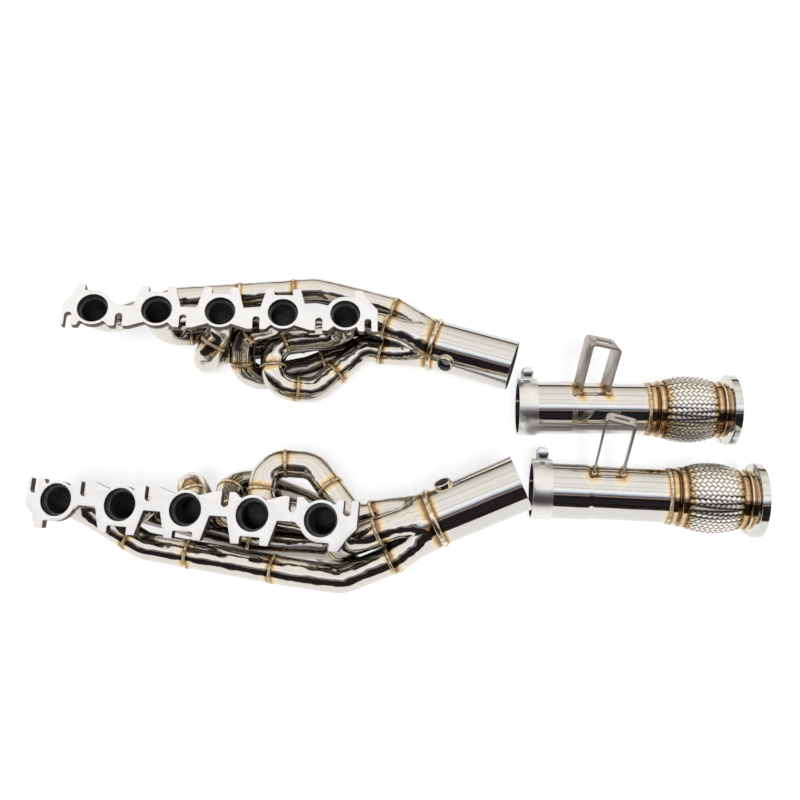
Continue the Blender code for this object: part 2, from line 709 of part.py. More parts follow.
def braid_radius(part_way):
    """Outside of the braid: a barrel between the two cuffs."""
    return CUFF_RADIUS + (BRAID_OD / 2 - CUFF_RADIUS) * (1 - abs(2 * part_way - 1) ** BRAID_FULLNESS)


def add_flex(bank, link, bend):
    """Collars, liner, bellows and braid. The outlet side hangs on the bend frame at mid length."""
    start = PIPE_LENGTH + WELD_GAP
    ring = OUTLET_RADIUS + COLLAR_STEP
    groove = OUTLET_RADIUS + WELD_GAP
    steps = zip(INLET_COLLAR_STEPS, (ring, ring, groove, groove, CUFF_RADIUS))
    outer = [(start, groove)]
    outer += [(start + step * INLET_COLLAR, radius) for step, radius in steps]
    outer.append((BRAID_START, CUFF_RADIUS))
    bore = [(start, OUTLET_BORE), (BRAID_START, OUTLET_BORE)]
    add_ring(f"flex_inlet_collar_{bank}", outer, bore, STEEL, link)
    low = BRAID_START + WELD_GAP
    length = FLEX_LENGTH - 2 * WELD_GAP
    barrel = [(low + length * t, braid_radius(t)) for t in BRAID_STATIONS]
    inside = [(height, radius - BRAID_THICKNESS) for height, radius in barrel]
    add_ring(f"flex_braid_{bank}", barrel, inside, BRAIDED, link)
    liner_radius = OUTLET_BORE - WELD_GAP
    root = liner_radius + BELLOWS_GAP + BELLOWS_WALL
    folds = []
    for index in range(2 * BELLOWS_FOLDS + 1):
        part_way = index / (2 * BELLOWS_FOLDS)
        crest = braid_radius(part_way) - BRAID_THICKNESS - BELLOWS_GAP
        folds.append((low + length * part_way, crest if index % 2 else root))
    inside = [(height, radius - BELLOWS_WALL) for height, radius in folds]
    add_ring(f"flex_bellows_{bank}", folds, inside, STEEL, link)
    span = (start, BRAID_END - LINER_STOP)
    outer = [(height, liner_radius) for height in span]
    inside = [(height, liner_radius - LINER_WALL) for height in span]
    add_ring(f"flex_liner_{bank}", outer, inside, SATIN, link)
    down = Matrix.Translation((0, 0, -(BRAID_START + BRAID_END) / 2))
    steps = zip(OUTLET_COLLAR_STEPS, (CUFF_RADIUS, ring))
    outer = [(BRAID_END, CUFF_RADIUS)]
    outer += [(BRAID_END + step * OUTLET_COLLAR, radius) for step, radius in steps]
    outer.append((COLLAR_END - WELD_GAP, ring))
    bore = [(BRAID_END, OUTLET_BORE), (COLLAR_END - WELD_GAP, OUTLET_BORE)]
    add_ring(f"flex_outlet_collar_{bank}", outer, bore, STEEL, bend, down)
    hub = OUTLET_RADIUS + VBAND_HUB_STEP
    neck = COLLAR_END + VBAND_HUB_LENGTH
    lip, seat = VBAND_SPIGOT
    outer = [
        (COLLAR_END, ring),
        (COLLAR_END + VBAND_HUB_CHAMFER, hub),
        (neck - VBAND_HUB_CHAMFER, hub),
        (neck, ring),
        (neck + VBAND_NECK, ring),
        (RIM_START, VBAND_OD / 2),
        (LINK_END - lip, VBAND_OD / 2),
        (LINK_END - lip, seat),
        (LINK_END, seat),
    ]
    bore = [(COLLAR_END, OUTLET_BORE), (LINK_END, OUTLET_BORE)]
    add_ring(f"vband_flange_{bank}", outer, bore, STEEL, bend, down)


def add_link(bank, mouth):
    """One link pipe, lying on its clamp band and its V-band rim. Z runs along it, X points up."""
    (ahead, aside), heading, turn = LINKS[bank]
    tilt = math.asin((VBAND_OD / 2 - BAND_RADIUS) / RIM_START)
    flat = Matrix(((0, 0, 1, 0), (0, -1, 0, 0), (1, 0, 0, 0), (0, 0, 0, 1)))
    lean = Matrix.Rotation(math.radians(heading), 4, "Z") @ Matrix.Rotation(-tilt, 4, "Y")
    place = Matrix.Translation((mouth.x + ahead, mouth.y + aside, BAND_RADIUS))
    link = new_frame(f"link_frame_{bank}", place @ lean @ flat)
    middle = Matrix.Translation((0, 0, (BRAID_START + BRAID_END) / 2))
    bend = new_frame(f"flex_frame_{bank}", middle, link)
    add_pipe(bank, link)
    add_clamp(bank, link)
    add_bracket(bank, link, turn)
    add_flex(bank, link, bend)


clear_scene()
PARTS = new_collection("racing_exhaust")
CUTTERS = new_collection("cutters", hidden=True)
for bank in ("left", "right"):
    mouth = add_header(bank)
    add_link(bank, mouth)
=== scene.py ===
"""Looks for a racing exhaust set: two headers and two link pipes on a white studio floor.

Metres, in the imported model's frame. Each section makes one piece or one group of like pieces.
"""

import itertools
import math

import bmesh
import bpy
from mathutils import Matrix, Vector


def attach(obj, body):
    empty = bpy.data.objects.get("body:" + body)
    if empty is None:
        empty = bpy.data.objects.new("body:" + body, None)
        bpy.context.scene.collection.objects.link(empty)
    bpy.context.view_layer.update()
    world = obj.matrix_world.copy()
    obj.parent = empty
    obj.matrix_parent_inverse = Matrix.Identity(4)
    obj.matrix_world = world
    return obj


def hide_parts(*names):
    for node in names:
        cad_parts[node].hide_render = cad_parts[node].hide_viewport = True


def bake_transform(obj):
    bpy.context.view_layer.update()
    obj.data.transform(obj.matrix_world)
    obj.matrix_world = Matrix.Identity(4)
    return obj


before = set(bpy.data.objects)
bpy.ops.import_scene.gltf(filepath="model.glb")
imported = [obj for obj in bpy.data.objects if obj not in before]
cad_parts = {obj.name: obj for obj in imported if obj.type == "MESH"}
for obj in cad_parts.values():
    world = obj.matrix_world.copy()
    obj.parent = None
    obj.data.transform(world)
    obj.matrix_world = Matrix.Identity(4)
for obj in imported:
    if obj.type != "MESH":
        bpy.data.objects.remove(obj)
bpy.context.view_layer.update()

# The set as it lies: one welded header and one loose link pipe for each engine bank.
# A header rests on its lowest tubes and its flange faces up. A link pipe rests on its clamp
# band and its V-band rim, so it leans a little.
WELDED = "headers_and_pipes"
HANDS = {"left": -1, "right": 1}
HEADER_PLACES = {
    "left": ((-0.4461, 0.1402, 0.1826), (9.76, 3.81, 1.0)),
    "right": ((-0.4632, -0.1341, 0.1311), (19.3, -5.91, -7.09)),
}
LINK_PLACES = {"left": ((0.1705, 0.0560, 0.0421), -1.83), "right": ((0.1810, -0.0796, 0.0421), -3.87)}
LINK_LEAN = math.asin(0.0104 / 0.313)


def header_matrix(bank):
    """The header's frame: X along the ports, Y across the flange, Z out of the engine side."""
    place, turn = HEADER_PLACES[bank]
    matrix = Matrix.Translation(place)
    for axis, degrees in zip("ZYX", reversed(turn)):
        matrix = matrix @ Matrix.Rotation(math.radians(degrees), 4, axis)
    return matrix


def link_matrix(bank):
    """The link pipe's frame: Z along the pipe from its slit end, X up, Y to the front."""
    place, heading = LINK_PLACES[bank]
    upright = Matrix(((0, 0, 1, 0), (0, -1, 0, 0), (1, 0, 0, 0), (0, 0, 0, 1)))
    lean = Matrix.Rotation(math.radians(heading), 4, "Z") @ Matrix.Rotation(-LINK_LEAN, 4, "Y")
    return Matrix.Translation(place) @ lean @ upright


# Port flanges: a 12 mm steel plate for each bank, laser cut, bead blasted on its face.
# Five ports are counterbored for the head's spigots, six open slots take the studs, and each
# tube is welded to the back round its port.
PORT_COUNT = 5
PORT_PITCH = 0.090
LAST_PORT = (PORT_COUNT - 1) * PORT_PITCH
PORT_RADIUS = 0.0217
PORT_DEPTH = 0.009
PLATE_THICKNESS = 0.012
PLATE_EDGE = 0.0006
PLATE_CORNER = 0.0016
EAR_TOP = 0.027
EAR_HALF = 0.013
EAR_SHIFT = 0.007
END_EAR = 0.033
SLOT_HALF = 0.005
SLOT_DEPTH = 0.020
CROWN = PORT_RADIUS + 0.0038
RIM = PORT_RADIUS + 0.0063
FOOT = RIM + 0.010
FOOT_SIDES = (0.0135, 0.0245)
WEB_EDGE = 0.005
WEB_HALF = 0.0115
END_PLATE = (0.042, 0.047)
END_DROP = 0.008
END_CHAMFER = (0.011, 0.012)
TUBE_RADIUS = 0.01905
TUBE_WALL = 0.0015


def arc(centre, radius, start, end, steps=16):
    """Points on an arc in XY, both ends included, angles in degrees."""
    points = []
    for step in range(steps + 1):
        angle = math.radians(start + (end - start) * step / steps)
        points.append(Vector((centre + radius * math.cos(angle), radius * math.sin(angle), 0)))
    return points


def eased(corners, radius, closed=False, step=7):
    """Straight runs joined by arcs of one radius, or a smaller one where the runs lack room."""
    corners = [Vector(corner) for corner in corners]
    count = len(corners)
    turning = range(count) if closed else range(1, count - 1)
    bends = {}
    reach = [0] * count
    for i in turning:
        into = (corners[i] - corners[i - 1]).normalized()
        out = (corners[(i + 1) % count] - corners[i]).normalized()
        bends[i] = (into, out, into.angle(out, 0))
        reach[i] = radius * math.tan(bends[i][2] / 2)
    room = []
    for i in range(count):
        needed = max(reach[i] + reach[(i + 1) % count], 1e-9)
        room.append(min(1, (corners[(i + 1) % count] - corners[i]).length / needed))
    points = [] if closed else [corners[0]]
    for i in turning:
        into, out, angle = bends[i]
        fit = radius * min(room[i - 1], room[i])
        if angle < 0.001:
            points.append(corners[i])
            continue
        centre = corners[i] + (out - into).normalized() * fit / math.cos(angle / 2)
        side = corners[i] - into * fit * math.tan(angle / 2) - centre
        steps = max(1, math.ceil(math.degrees(angle) / step))
        for k in range(steps + 1):
            swept = angle * k / steps
            points.append(centre + side * math.cos(swept) + into * fit * math.sin(swept))
    return points if closed else points + [corners[-1]]


def plate_mesh(name, outlines, thickness, edge):
    """A flat plate about z = 0, cut to outlines in XY with their holes, with broken edges."""
    curve = bpy.data.curves.new(name, "CURVE")
    curve.dimensions = "2D"
    curve.fill_mode = "BOTH"
    curve.extrude = thickness / 2 - edge
    curve.bevel_depth = edge
    curve.bevel_resolution = 1
    curve.offset = -edge
    for points in outlines:
        spline = curve.splines.new("POLY")
        spline.points.add(len(points) - 1)
        for target, point in zip(spline.points, points):
            target.co = (point.x, point.y, 0, 1)
        spline.use_cyclic_u = True
    guide = bpy.data.objects.new(name, curve)
    bpy.context.scene.collection.objects.link(guide)
    mesh = settled_mesh(guide)
    weld_corners(mesh)
    return mesh


def settled_mesh(guide):
    """The plain mesh of an object with its modifiers, and the object gone."""
    evaluated = guide.evaluated_get(bpy.context.evaluated_depsgraph_get())
    mesh = bpy.data.meshes.new_from_object(evaluated)
    bpy.data.objects.remove(guide)
    mesh.materials.clear()
    return mesh


def weld_corners(mesh):
    """Merges doubled points and turns every face outwards."""
    bm = bmesh.new()
    bm.from_mesh(mesh)
    bmesh.ops.remove_doubles(bm, verts=bm.verts, dist=0.000005)
    bmesh.ops.recalc_face_normals(bm, faces=bm.faces)
    bm.to_mesh(mesh)
    bm.free()


def joined(name, meshes):
    """Several meshes as one."""
    bm = bmesh.new()
    for mesh in meshes:
        bm.from_mesh(mesh)
        bpy.data.meshes.remove(mesh)
    whole = bpy.data.meshes.new(name)
    bm.to_mesh(whole)
    bm.free()
    return whole


def turned_mesh(name, profile, steps=96):
    """A closed profile of (height, radius) points, turned round the Z axis."""
    mesh = bpy.data.meshes.new(name)
    bm = bmesh.new()
    rings = []
    for step in range(steps):
        turn = Matrix.Rotation(2 * math.pi * step / steps, 3, "Z")
        rings.append([bm.verts.new(turn @ Vector((radius, 0, height))) for height, radius in profile])
    for ring, after in zip(rings, rings[1:] + rings[:1]):
        for i in range(len(profile)):
            bm.faces.new((ring[i - 1], ring[i], after[i], after[i - 1]))
    bmesh.ops.recalc_face_normals(bm, faces=bm.faces)
    bm.to_mesh(mesh)
    bm.free()
    return mesh


def new_piece(name, mesh, materials, matrix=Matrix(), sharp=35):
    """A finished piece at the origin, with its place in its mesh."""
    mesh.transform(matrix)
    for material in materials:
        mesh.materials.append(material)
    mesh.shade_smooth()
    mesh.set_sharp_from_angle(angle=math.radians(sharp))
    piece = bpy.data.objects.new(name, mesh)
    bpy.context.scene.collection.objects.link(piece)
    return piece


def add_node(tree, kind, inputs=None, **settings):
    """A node with its settings, and its inputs either linked or set."""
    made = tree.nodes.new(kind)
    for key, value in settings.items():
        setattr(made, key, value)
    for key, value in (inputs or {}).items():
        if isinstance(value, bpy.types.NodeSocket):
            tree.links.new(value, made.inputs[key])
        else:
            made.inputs[key].default_value = value
    return made


def new_metal(name, colour, roughness):
    """A metal with one colour and roughness on its own sockets: (material, tree, shader)."""
    material = bpy.data.materials.new(name)
    material.use_nodes = True
    tree = material.node_tree
    shader = tree.nodes["Principled BSDF"]
    shader.inputs["Base Color"].default_value = (*colour, 1)
    shader.inputs["Metallic"].default_value = 1
    shader.inputs["Roughness"].default_value = roughness
    return material, tree, shader


def new_group(name, inputs, outputs):
    """An empty shader group with named sockets: (group, its input node, its output node)."""
    group = bpy.data.node_groups.new(name, "ShaderNodeTree")
    for label, kind in inputs:
        group.interface.new_socket(label, in_out="INPUT", socket_type=kind)
    for label, kind in outputs:
        group.interface.new_socket(label, in_out="OUTPUT", socket_type=kind)
    return group, group.nodes.new("NodeGroupInput"), group.nodes.new("NodeGroupOutput")


def grain_group():
    """Fine even grain, as left by bead blasting or brushing: a mottled colour and a height."""
    group, given, result = new_group(
        "metal_grain",
        [("Colour", "NodeSocketColor"), ("Scale", "NodeSocketVector"), ("Depth", "NodeSocketFloat")],
        [("Colour", "NodeSocketColor"), ("Height", "NodeSocketFloat")],
    )
    place = add_node(group, "ShaderNodeTexCoord").outputs["Object"]
    spread = add_node(
        group, "ShaderNodeVectorMath", {0: place, 1: given.outputs["Scale"]}, operation="MULTIPLY"
    )
    grain = add_node(group, "ShaderNodeTexNoise", {"Vector": spread.outputs[0], "Scale": 1, "Detail": 3})
    patch = add_node(group, "ShaderNodeTexNoise", {"Vector": place, "Scale": 45, "Detail": 2})
    both = add_node(group, "ShaderNodeMath", {0: grain.outputs["Fac"], 1: patch.outputs["Fac"]})
    shade = add_node(
        group, "ShaderNodeMapRange", {"Value": both.outputs[0], "From Min": 0.6, "From Max": 1.4}
    )
    group.links.new(given.outputs["Depth"], shade.inputs["To Min"])
    shade.inputs["To Max"].default_value = 1
    tinted = add_node(group, "ShaderNodeMix", {0: 1.0}, data_type="RGBA", blend_type="MULTIPLY")
    group.links.new(given.outputs["Colour"], tinted.inputs[6])
    group.links.new(shade.outputs[0], tinted.inputs[7])
    group.links.new(tinted.outputs[2], result.inputs["Colour"])
    group.links.new(grain.outputs["Fac"], result.inputs["Height"])
    return group


METAL_GRAIN = grain_group()


def add_grain(tree, shader, colour, scale, depth, bump):
    """Puts the grain on a metal's colour and normal."""
    grain = add_node(tree, "ShaderNodeGroup", node_tree=METAL_GRAIN)
    grain.inputs["Colour"].default_value = (*colour, 1)
    grain.inputs["Scale"].default_value = scale
    grain.inputs["Depth"].default_value = depth
    relief = add_node(
        tree, "ShaderNodeBump", {"Strength": bump, "Distance": 0.0002, "Height": grain.outputs["Height"]}
    )
    tree.links.new(grain.outputs["Colour"], shader.inputs["Base Color"])
    tree.links.new(relief.outputs["Normal"], shader.inputs["Normal"])


BLASTED_COLOUR = (0.90, 0.89, 0.88)
blasted, tree, shader = new_metal("blasted_steel", BLASTED_COLOUR, 0.48)
shader.inputs["Metallic"].default_value = 0.45
add_grain(tree, shader, BLASTED_COLOUR, (900, 900, 900), 0.90, 0.25)

# Heat scale on the flange's cut edges and back: partly real oxide, partly painted shade, kept dark brown so
# that the tubes below mirror a shaded underside.
SCALE_AND_SHADE_COLOUR = (0.17, 0.135, 0.11)
scale_and_shade, tree, shader = new_metal("heat_scale_and_shade", SCALE_AND_SHADE_COLOUR, 0.42)
add_grain(tree, shader, SCALE_AND_SHADE_COLOUR, (240, 240, 240), 0.45, 0.35)

# Painted shade: a dark steel on the insides of bores and pipes, and on the bellows and liner hidden inside
# the sleeve, standing in for the shade in there.
BORE_SHADE_COLOUR = (0.09, 0.087, 0.088)
painted_shade, tree, shader = new_metal("painted_shade_bore", BORE_SHADE_COLOUR, 0.4)
shader.inputs["Metallic"].default_value = 0.6
add_grain(tree, shader, BORE_SHADE_COLOUR, (160, 160, 160), 0.30, 0.3)


def ear_edge(u):
    """A stud ear's top edge, left to right, with its open slot."""
    bottom = Vector((0, EAR_TOP - SLOT_DEPTH + SLOT_HALF, 0))
    before = [Vector((u - half, EAR_TOP, 0)) for half in (EAR_HALF, SLOT_HALF)]
    after = [Vector((u + half, EAR_TOP, 0)) for half in (SLOT_HALF, EAR_HALF)]
    return [*before, *(point + bottom for point in arc(u, SLOT_HALF, 180, 360)), *after]


def flange_outline():
    """Crowns and slotted ears along the top, then feet and tapered windows back along the bottom."""
    points = [Vector((-END_PLATE[0], EAR_TOP, 0)), *ear_edge(-END_EAR)[1:]]
    for index in range(PORT_COUNT):
        points += arc(index * PORT_PITCH, CROWN, 130, 50)
        if index < PORT_COUNT - 1:
            shift = math.copysign(EAR_SHIFT, index + 1 - PORT_COUNT / 2)
            points += ear_edge((index + 0.5) * PORT_PITCH + shift)
    points += [*ear_edge(LAST_PORT + END_EAR)[:-1], Vector((LAST_PORT + END_PLATE[1], EAR_TOP, 0))]
    cut, fall = END_CHAMFER
    right = LAST_PORT + END_PLATE[1]
    points += [Vector((right, -END_DROP, 0)), Vector((right - cut, -END_DROP - fall, 0))]
    inner, outer = FOOT_SIDES
    for index in reversed(range(PORT_COUNT)):
        u = index * PORT_PITCH
        foot = [(outer, FOOT), (inner, FOOT), (inner, RIM)]
        if index > 0:
            points += [Vector((u + along, -down, 0)) for along, down in foot]
        else:
            points += arc(u, RIM, -25, -90)
        if index < PORT_COUNT - 1:
            points += [Vector((u - along, -down, 0)) for along, down in reversed(foot)]
        else:
            points += arc(u, RIM, -90, -155)
        if index > 0:
            web = u - PORT_PITCH / 2
            points += [Vector((web + WEB_HALF, -WEB_EDGE, 0)), Vector((web - WEB_HALF, -WEB_EDGE, 0))]
    left = -END_PLATE[0]
    return points + [Vector((left + cut, -END_DROP - fall, 0)), Vector((left, -END_DROP, 0))]


def darken_bores(mesh):
    """Gives the port walls and steps the second material, dark as painted shade of the bore, and the cut
    edges and back the third, heat scale darkened as painted shade.
    """
    for face in mesh.polygons:
        port = round(face.center.x / PORT_PITCH) * PORT_PITCH
        inside = math.hypot(face.center.x - port, face.center.y) < PORT_RADIUS + 0.0002
        if inside and face.center.z < -PLATE_EDGE:
            face.material_index = 1
        elif face.center.z < PLATE_EDGE - PLATE_THICKNESS or abs(face.normal.z) < 0.3:
            face.material_index = 2


for bank, hand in HANDS.items():
    edge = eased(flange_outline(), PLATE_CORNER, closed=True, step=15)
    edge = [Vector((point.x, hand * point.y, 0)) for point in edge]
    ports = [arc(i * PORT_PITCH, PORT_RADIUS, 0, 360, 72)[1:] for i in range(PORT_COUNT)]
    plate = plate_mesh("plate", [edge, *ports], PLATE_THICKNESS, PLATE_EDGE)
    plate.transform(Matrix.Translation((0, 0, -PLATE_THICKNESS / 2)))
    bore = TUBE_RADIUS - TUBE_WALL
    step_profile = [(-PLATE_THICKNESS, bore), (-PLATE_THICKNESS, PORT_RADIUS + 0.001)]
    step_profile += [(-PORT_DEPTH, PORT_RADIUS + 0.001), (-PORT_DEPTH, bore + PLATE_EDGE)]
    step_profile += [(-PORT_DEPTH - PLATE_EDGE, bore)]
    rings = []
    for index in range(PORT_COUNT):
        ring = turned_mesh("port_step", step_profile, 72)
        ring.transform(Matrix.Translation((index * PORT_PITCH, 0, 0)))
        rings.append(ring)
    mesh = joined("flange", [plate, *rings])
    flange = new_piece(f"flange_plate_{bank}", mesh, [blasted, painted_shade, scale_and_shade])
    darken_bores(mesh)
    mesh.transform(header_matrix(bank))
    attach(flange, WELDED)
    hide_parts(f"header_flange_{bank}")

# Primary tubes: 38.1 mm stainless, mandrel bent and cut into lengths, so that a run is several
# bends butt welded in line. Mirror polished, with a straw and brown bloom beside each weld.
# Every run goes from its port to one inlet of the collector, and none of them touch.
LANE = 0.0385
PRIMARIES = (
    (1.51, 1.13, ((-6.70, -1.30, -1.80), (-1.13, -1.78, -1.62)), 4, 1.86),
    (2.38, 0.97, ((-2.87, -0.84, -2.65), (0.00, -0.76, -2.73)), 0, 0.75),
    (
        1.26,
        0.85,
        ((-5.65, 1.52, -2.10), (-5.23, 0.19, -3.53), (-1.48, -0.53, -3.70), (-0.18, -1.02, -3.77)),
        3,
        1.52,
    ),
    (1.13, 0.91, ((-3.97, 0.02, -1.62), (-4.11, 1.55, -3.24), (-1.47, 0.75, -3.68)), 2, 0.78),
    (1.99, 0.84, ((-2.85, 0.30, -2.16), (-2.76, 2.05, -2.47), (-1.09, 2.07, -2.75)), 1, 0.80),
)
TUBE_WELDS = {
    "left": (
        (0.121, 0.243, 0.326),
        (0.101, 0.222, 0.345),
        (0.064, 0.165, 0.287),
        (0.078, 0.132, 0.280),
        (0.143, 0.187, 0.243, 0.314),
    ),
    "right": (
        (0.121, 0.212, 0.332),
        (0.101, 0.222, 0.345),
        (0.064, 0.165, 0.287),
        (0.078, 0.132, 0.280),
        (0.143, 0.179, 0.235, 0.314),
    ),
}
ROUTE_STEP = 0.003
TUBE_SIDES = 40
COLLECTOR_LENGTH = 0.067
COLLECTOR_AIMS = {1: (0.8943, 0.4467, 0.0253), -1: (0.9387, 0.3188, 0.1312)}
INLET_CENTRE = (1.877, -0.341, -2.358)
INLET_RING = 0.03581
INLET_TURN = 15
BEAD_PITCH = 0.0017
BEAD_WIDTH = 0.0050
BEAD_HEIGHT = 0.0012


def mirrored(point, hand):
    """A point of the right header's frame, carried to the other bank where hand is -1."""
    return Vector((point[0], hand * point[1], point[2]))


def collector_axes(hand):
    """The collector's outlet, its axis, and two directions across it from which inlets are counted."""
    aim = Vector(COLLECTOR_AIMS[hand]).normalized()
    centre = Vector((LAST_PORT, 0, 0)) + LANE * Vector(INLET_CENTRE)
    weld = mirrored(centre + aim * COLLECTOR_LENGTH, hand)
    first = (Vector((0, 0, 1)) - aim.z * aim).normalized()
    second = first.cross(aim)
    return weld, mirrored(aim, hand), mirrored(first, hand), mirrored(second, hand)


def collector_point(hand, along, radius, angle):
    """A point of the collector: distance from its inlet face, then polar across its axis."""
    weld, aim, first, second = collector_axes(hand)
    spoke = first * math.cos(angle) + second * math.sin(angle)
    return weld + aim * (along - COLLECTOR_LENGTH) + spoke * radius


def inlet_angle(inlet):
    return math.radians(INLET_TURN) + 2 * math.pi * inlet / PORT_COUNT


def primary_route(index, hand):
    """A tube's centre line from the flange to the collector, in short even steps."""
    drop, bend, corners, inlet, approach = PRIMARIES[index]
    u = index * PORT_PITCH
    route = [Vector((u, 0, -PLATE_THICKNESS)), Vector((u, 0, -drop * LANE))]
    for along, up, out in corners:
        route.append(mirrored((LAST_PORT + along * LANE, up * LANE, out * LANE), hand))
    for along in (-approach * LANE, 0):
        route.append(collector_point(hand, along, INLET_RING, inlet_angle(inlet)))
    points = []
    curve = eased(route, bend * LANE)
    for start, end in zip(curve, curve[1:]):
        parts = max(1, round((end - start).length / ROUTE_STEP))
        points += [start.lerp(end, part / parts) for part in range(parts)]
    return points + [curve[-1]]


def lengths_along(points):
    """How far along a line of points each one is."""
    lengths = [0]
    for start, end in zip(points, points[1:]):
        lengths.append(lengths[-1] + (end - start).length)
    return lengths


def new_geometry(name, inputs):
    """A geometry tree with named inputs: (tree, its input node, its output node)."""
    tree = bpy.data.node_groups.new(name, "GeometryNodeTree")
    tree.interface.new_socket("Geometry", in_out="INPUT", socket_type="NodeSocketGeometry")
    for label, kind in inputs:
        tree.interface.new_socket(label, in_out="INPUT", socket_type=kind)
    tree.interface.new_socket("Geometry", in_out="OUTPUT", socket_type="NodeSocketGeometry")
    return tree, tree.nodes.new("NodeGroupInput"), tree.nodes.new("NodeGroupOutput")


def close_tree(tree, geometry, material, result):
    """Ends a tree with real faces, smooth, in one material."""
    real = add_node(tree, "GeometryNodeRealizeInstances", {"Geometry": geometry})
    smooth = add_node(tree, "GeometryNodeSetShadeSmooth", {"Geometry": real.outputs[0]})
    dressed = add_node(
        tree, "GeometryNodeSetMaterial", {"Geometry": smooth.outputs[0], "Material": material}
    )
    tree.links.new(dressed.outputs[0], result.inputs["Geometry"])


def tube_tree():
    """Sweeps a circle along a chain of edges."""
    tree, given, result = new_geometry(
        "bent_tube",
        [("Radius", "NodeSocketFloat"), ("Sides", "NodeSocketInt"), ("Material", "NodeSocketMaterial")],
    )
    path = add_node(tree, "GeometryNodeMeshToCurve", {"Mesh": given.outputs["Geometry"]})
    section = add_node(
        tree,
        "GeometryNodeCurvePrimitiveCircle",
        {"Resolution": given.outputs["Sides"], "Radius": given.outputs["Radius"]},
    )
    swept = add_node(
        tree,
        "GeometryNodeCurveToMesh",
        {"Curve": path.outputs[0], "Profile Curve": section.outputs[0]},
    )
    close_tree(tree, swept.outputs[0], given.outputs["Material"], result)
    return tree


def bead_tree():
    """Sets overlapping flat ripples along closed seams, as a weld bead is laid down."""
    tree, given, result = new_geometry(
        "weld_bead",
        [
            ("Pitch", "NodeSocketFloat"),
            ("Size", "NodeSocketVector"),
            ("Seed", "NodeSocketInt"),
            ("Material", "NodeSocketMaterial"),
        ],
    )
    seam = add_node(tree, "GeometryNodeMeshToCurve", {"Mesh": given.outputs["Geometry"]})
    spots = add_node(
        tree,
        "GeometryNodeResampleCurve",
        {"Curve": seam.outputs[0], "Length": given.outputs["Pitch"]},
        mode="LENGTH",
    )
    outward = add_node(tree, "GeometryNodeInputNamedAttribute", {"Name": "outward"}, data_type="FLOAT_VECTOR")
    tangent = add_node(tree, "GeometryNodeInputTangent")
    standing = add_node(
        tree, "FunctionNodeAlignRotationToVector", {"Vector": outward.outputs[0]}, axis="Z"
    )
    turned = add_node(
        tree,
        "FunctionNodeAlignRotationToVector",
        {"Rotation": standing.outputs[0], "Vector": tangent.outputs[0]},
        axis="X",
        pivot_axis="Z",
    )
    uneven = add_node(
        tree,
        "FunctionNodeRandomValue",
        {0: (0.9, 0.88, 0.85), 1: (1.1, 1.12, 1.15), "Seed": given.outputs["Seed"]},
        data_type="FLOAT_VECTOR",
    )
    sized = add_node(
        tree,
        "ShaderNodeVectorMath",
        {0: given.outputs["Size"], 1: uneven.outputs[0]},
        operation="MULTIPLY",
    )
    ripple = add_node(tree, "GeometryNodeMeshUVSphere", {"Segments": 8, "Rings": 5, "Radius": 1})
    laid = add_node(
        tree,
        "GeometryNodeInstanceOnPoints",
        {
            "Points": spots.outputs[0],
            "Instance": ripple.outputs[0],
            "Rotation": turned.outputs[0],
            "Scale": sized.outputs[0],
        },
    )
    close_tree(tree, laid.outputs[0], given.outputs["Material"], result)
    return tree


def line_mesh(name, lines, closed):
    """Chains of edges, each closed or open."""
    mesh = bpy.data.meshes.new(name)
    points = []
    edges = []
    for line in lines:
        first = len(points)
        points += line
        edges += [(i - 1, i) for i in range(first + 1, len(points))]
        if closed:
            edges.append((len(points) - 1, first))
    mesh.from_pydata(points, edges, [])
    return mesh


def grown_mesh(source, tree, values):
    """The mesh that a tree grows from a source mesh. Inputs are set by their identifiers."""
    guide = bpy.data.objects.new(source.name, source)
    bpy.context.scene.collection.objects.link(guide)
    modifier = guide.modifiers.new("grown", "NODES")
    names = {item.name: item.identifier for item in tree.interface.items_tree if item.in_out == "INPUT"}
    for name, value in values.items():
        modifier[names[name]] = value
    modifier.node_group = tree
    return guide


def ring_seam(centre, axis, radius, count=48):
    """A round seam: its points, and which way is out at each."""
    first = axis.orthogonal().normalized()
    second = axis.normalized().cross(first)
    seam = []
    for step in range(count):
        angle = 2 * math.pi * step / count
        spoke = first * math.cos(angle) + second * math.sin(angle)
        seam.append((centre + spoke * radius, spoke))
    return seam


TUBE_TREE = tube_tree()
BEAD_TREE = bead_tree()


def bead_piece(name, seams, matrix, seed, width=BEAD_WIDTH, height=BEAD_HEIGHT, pitch=BEAD_PITCH):
    """Weld beads along seams, each a closed list of (point, way out)."""
    source = line_mesh(name, [[point for point, _ in seam] for seam in seams], closed=True)
    outward = source.attributes.new("outward", "FLOAT_VECTOR", "POINT")
    outward.data.foreach_set("vector", [x for seam in seams for _, way in seam for x in way])
    size = (pitch * 1.15, width / 2, height)
    values = {"Pitch": pitch, "Size": size, "Seed": seed, "Material": weld_metal}
    mesh = settled_mesh(grown_mesh(source, BEAD_TREE, values))
    return new_piece(name, mesh, [weld_metal], matrix, 70)


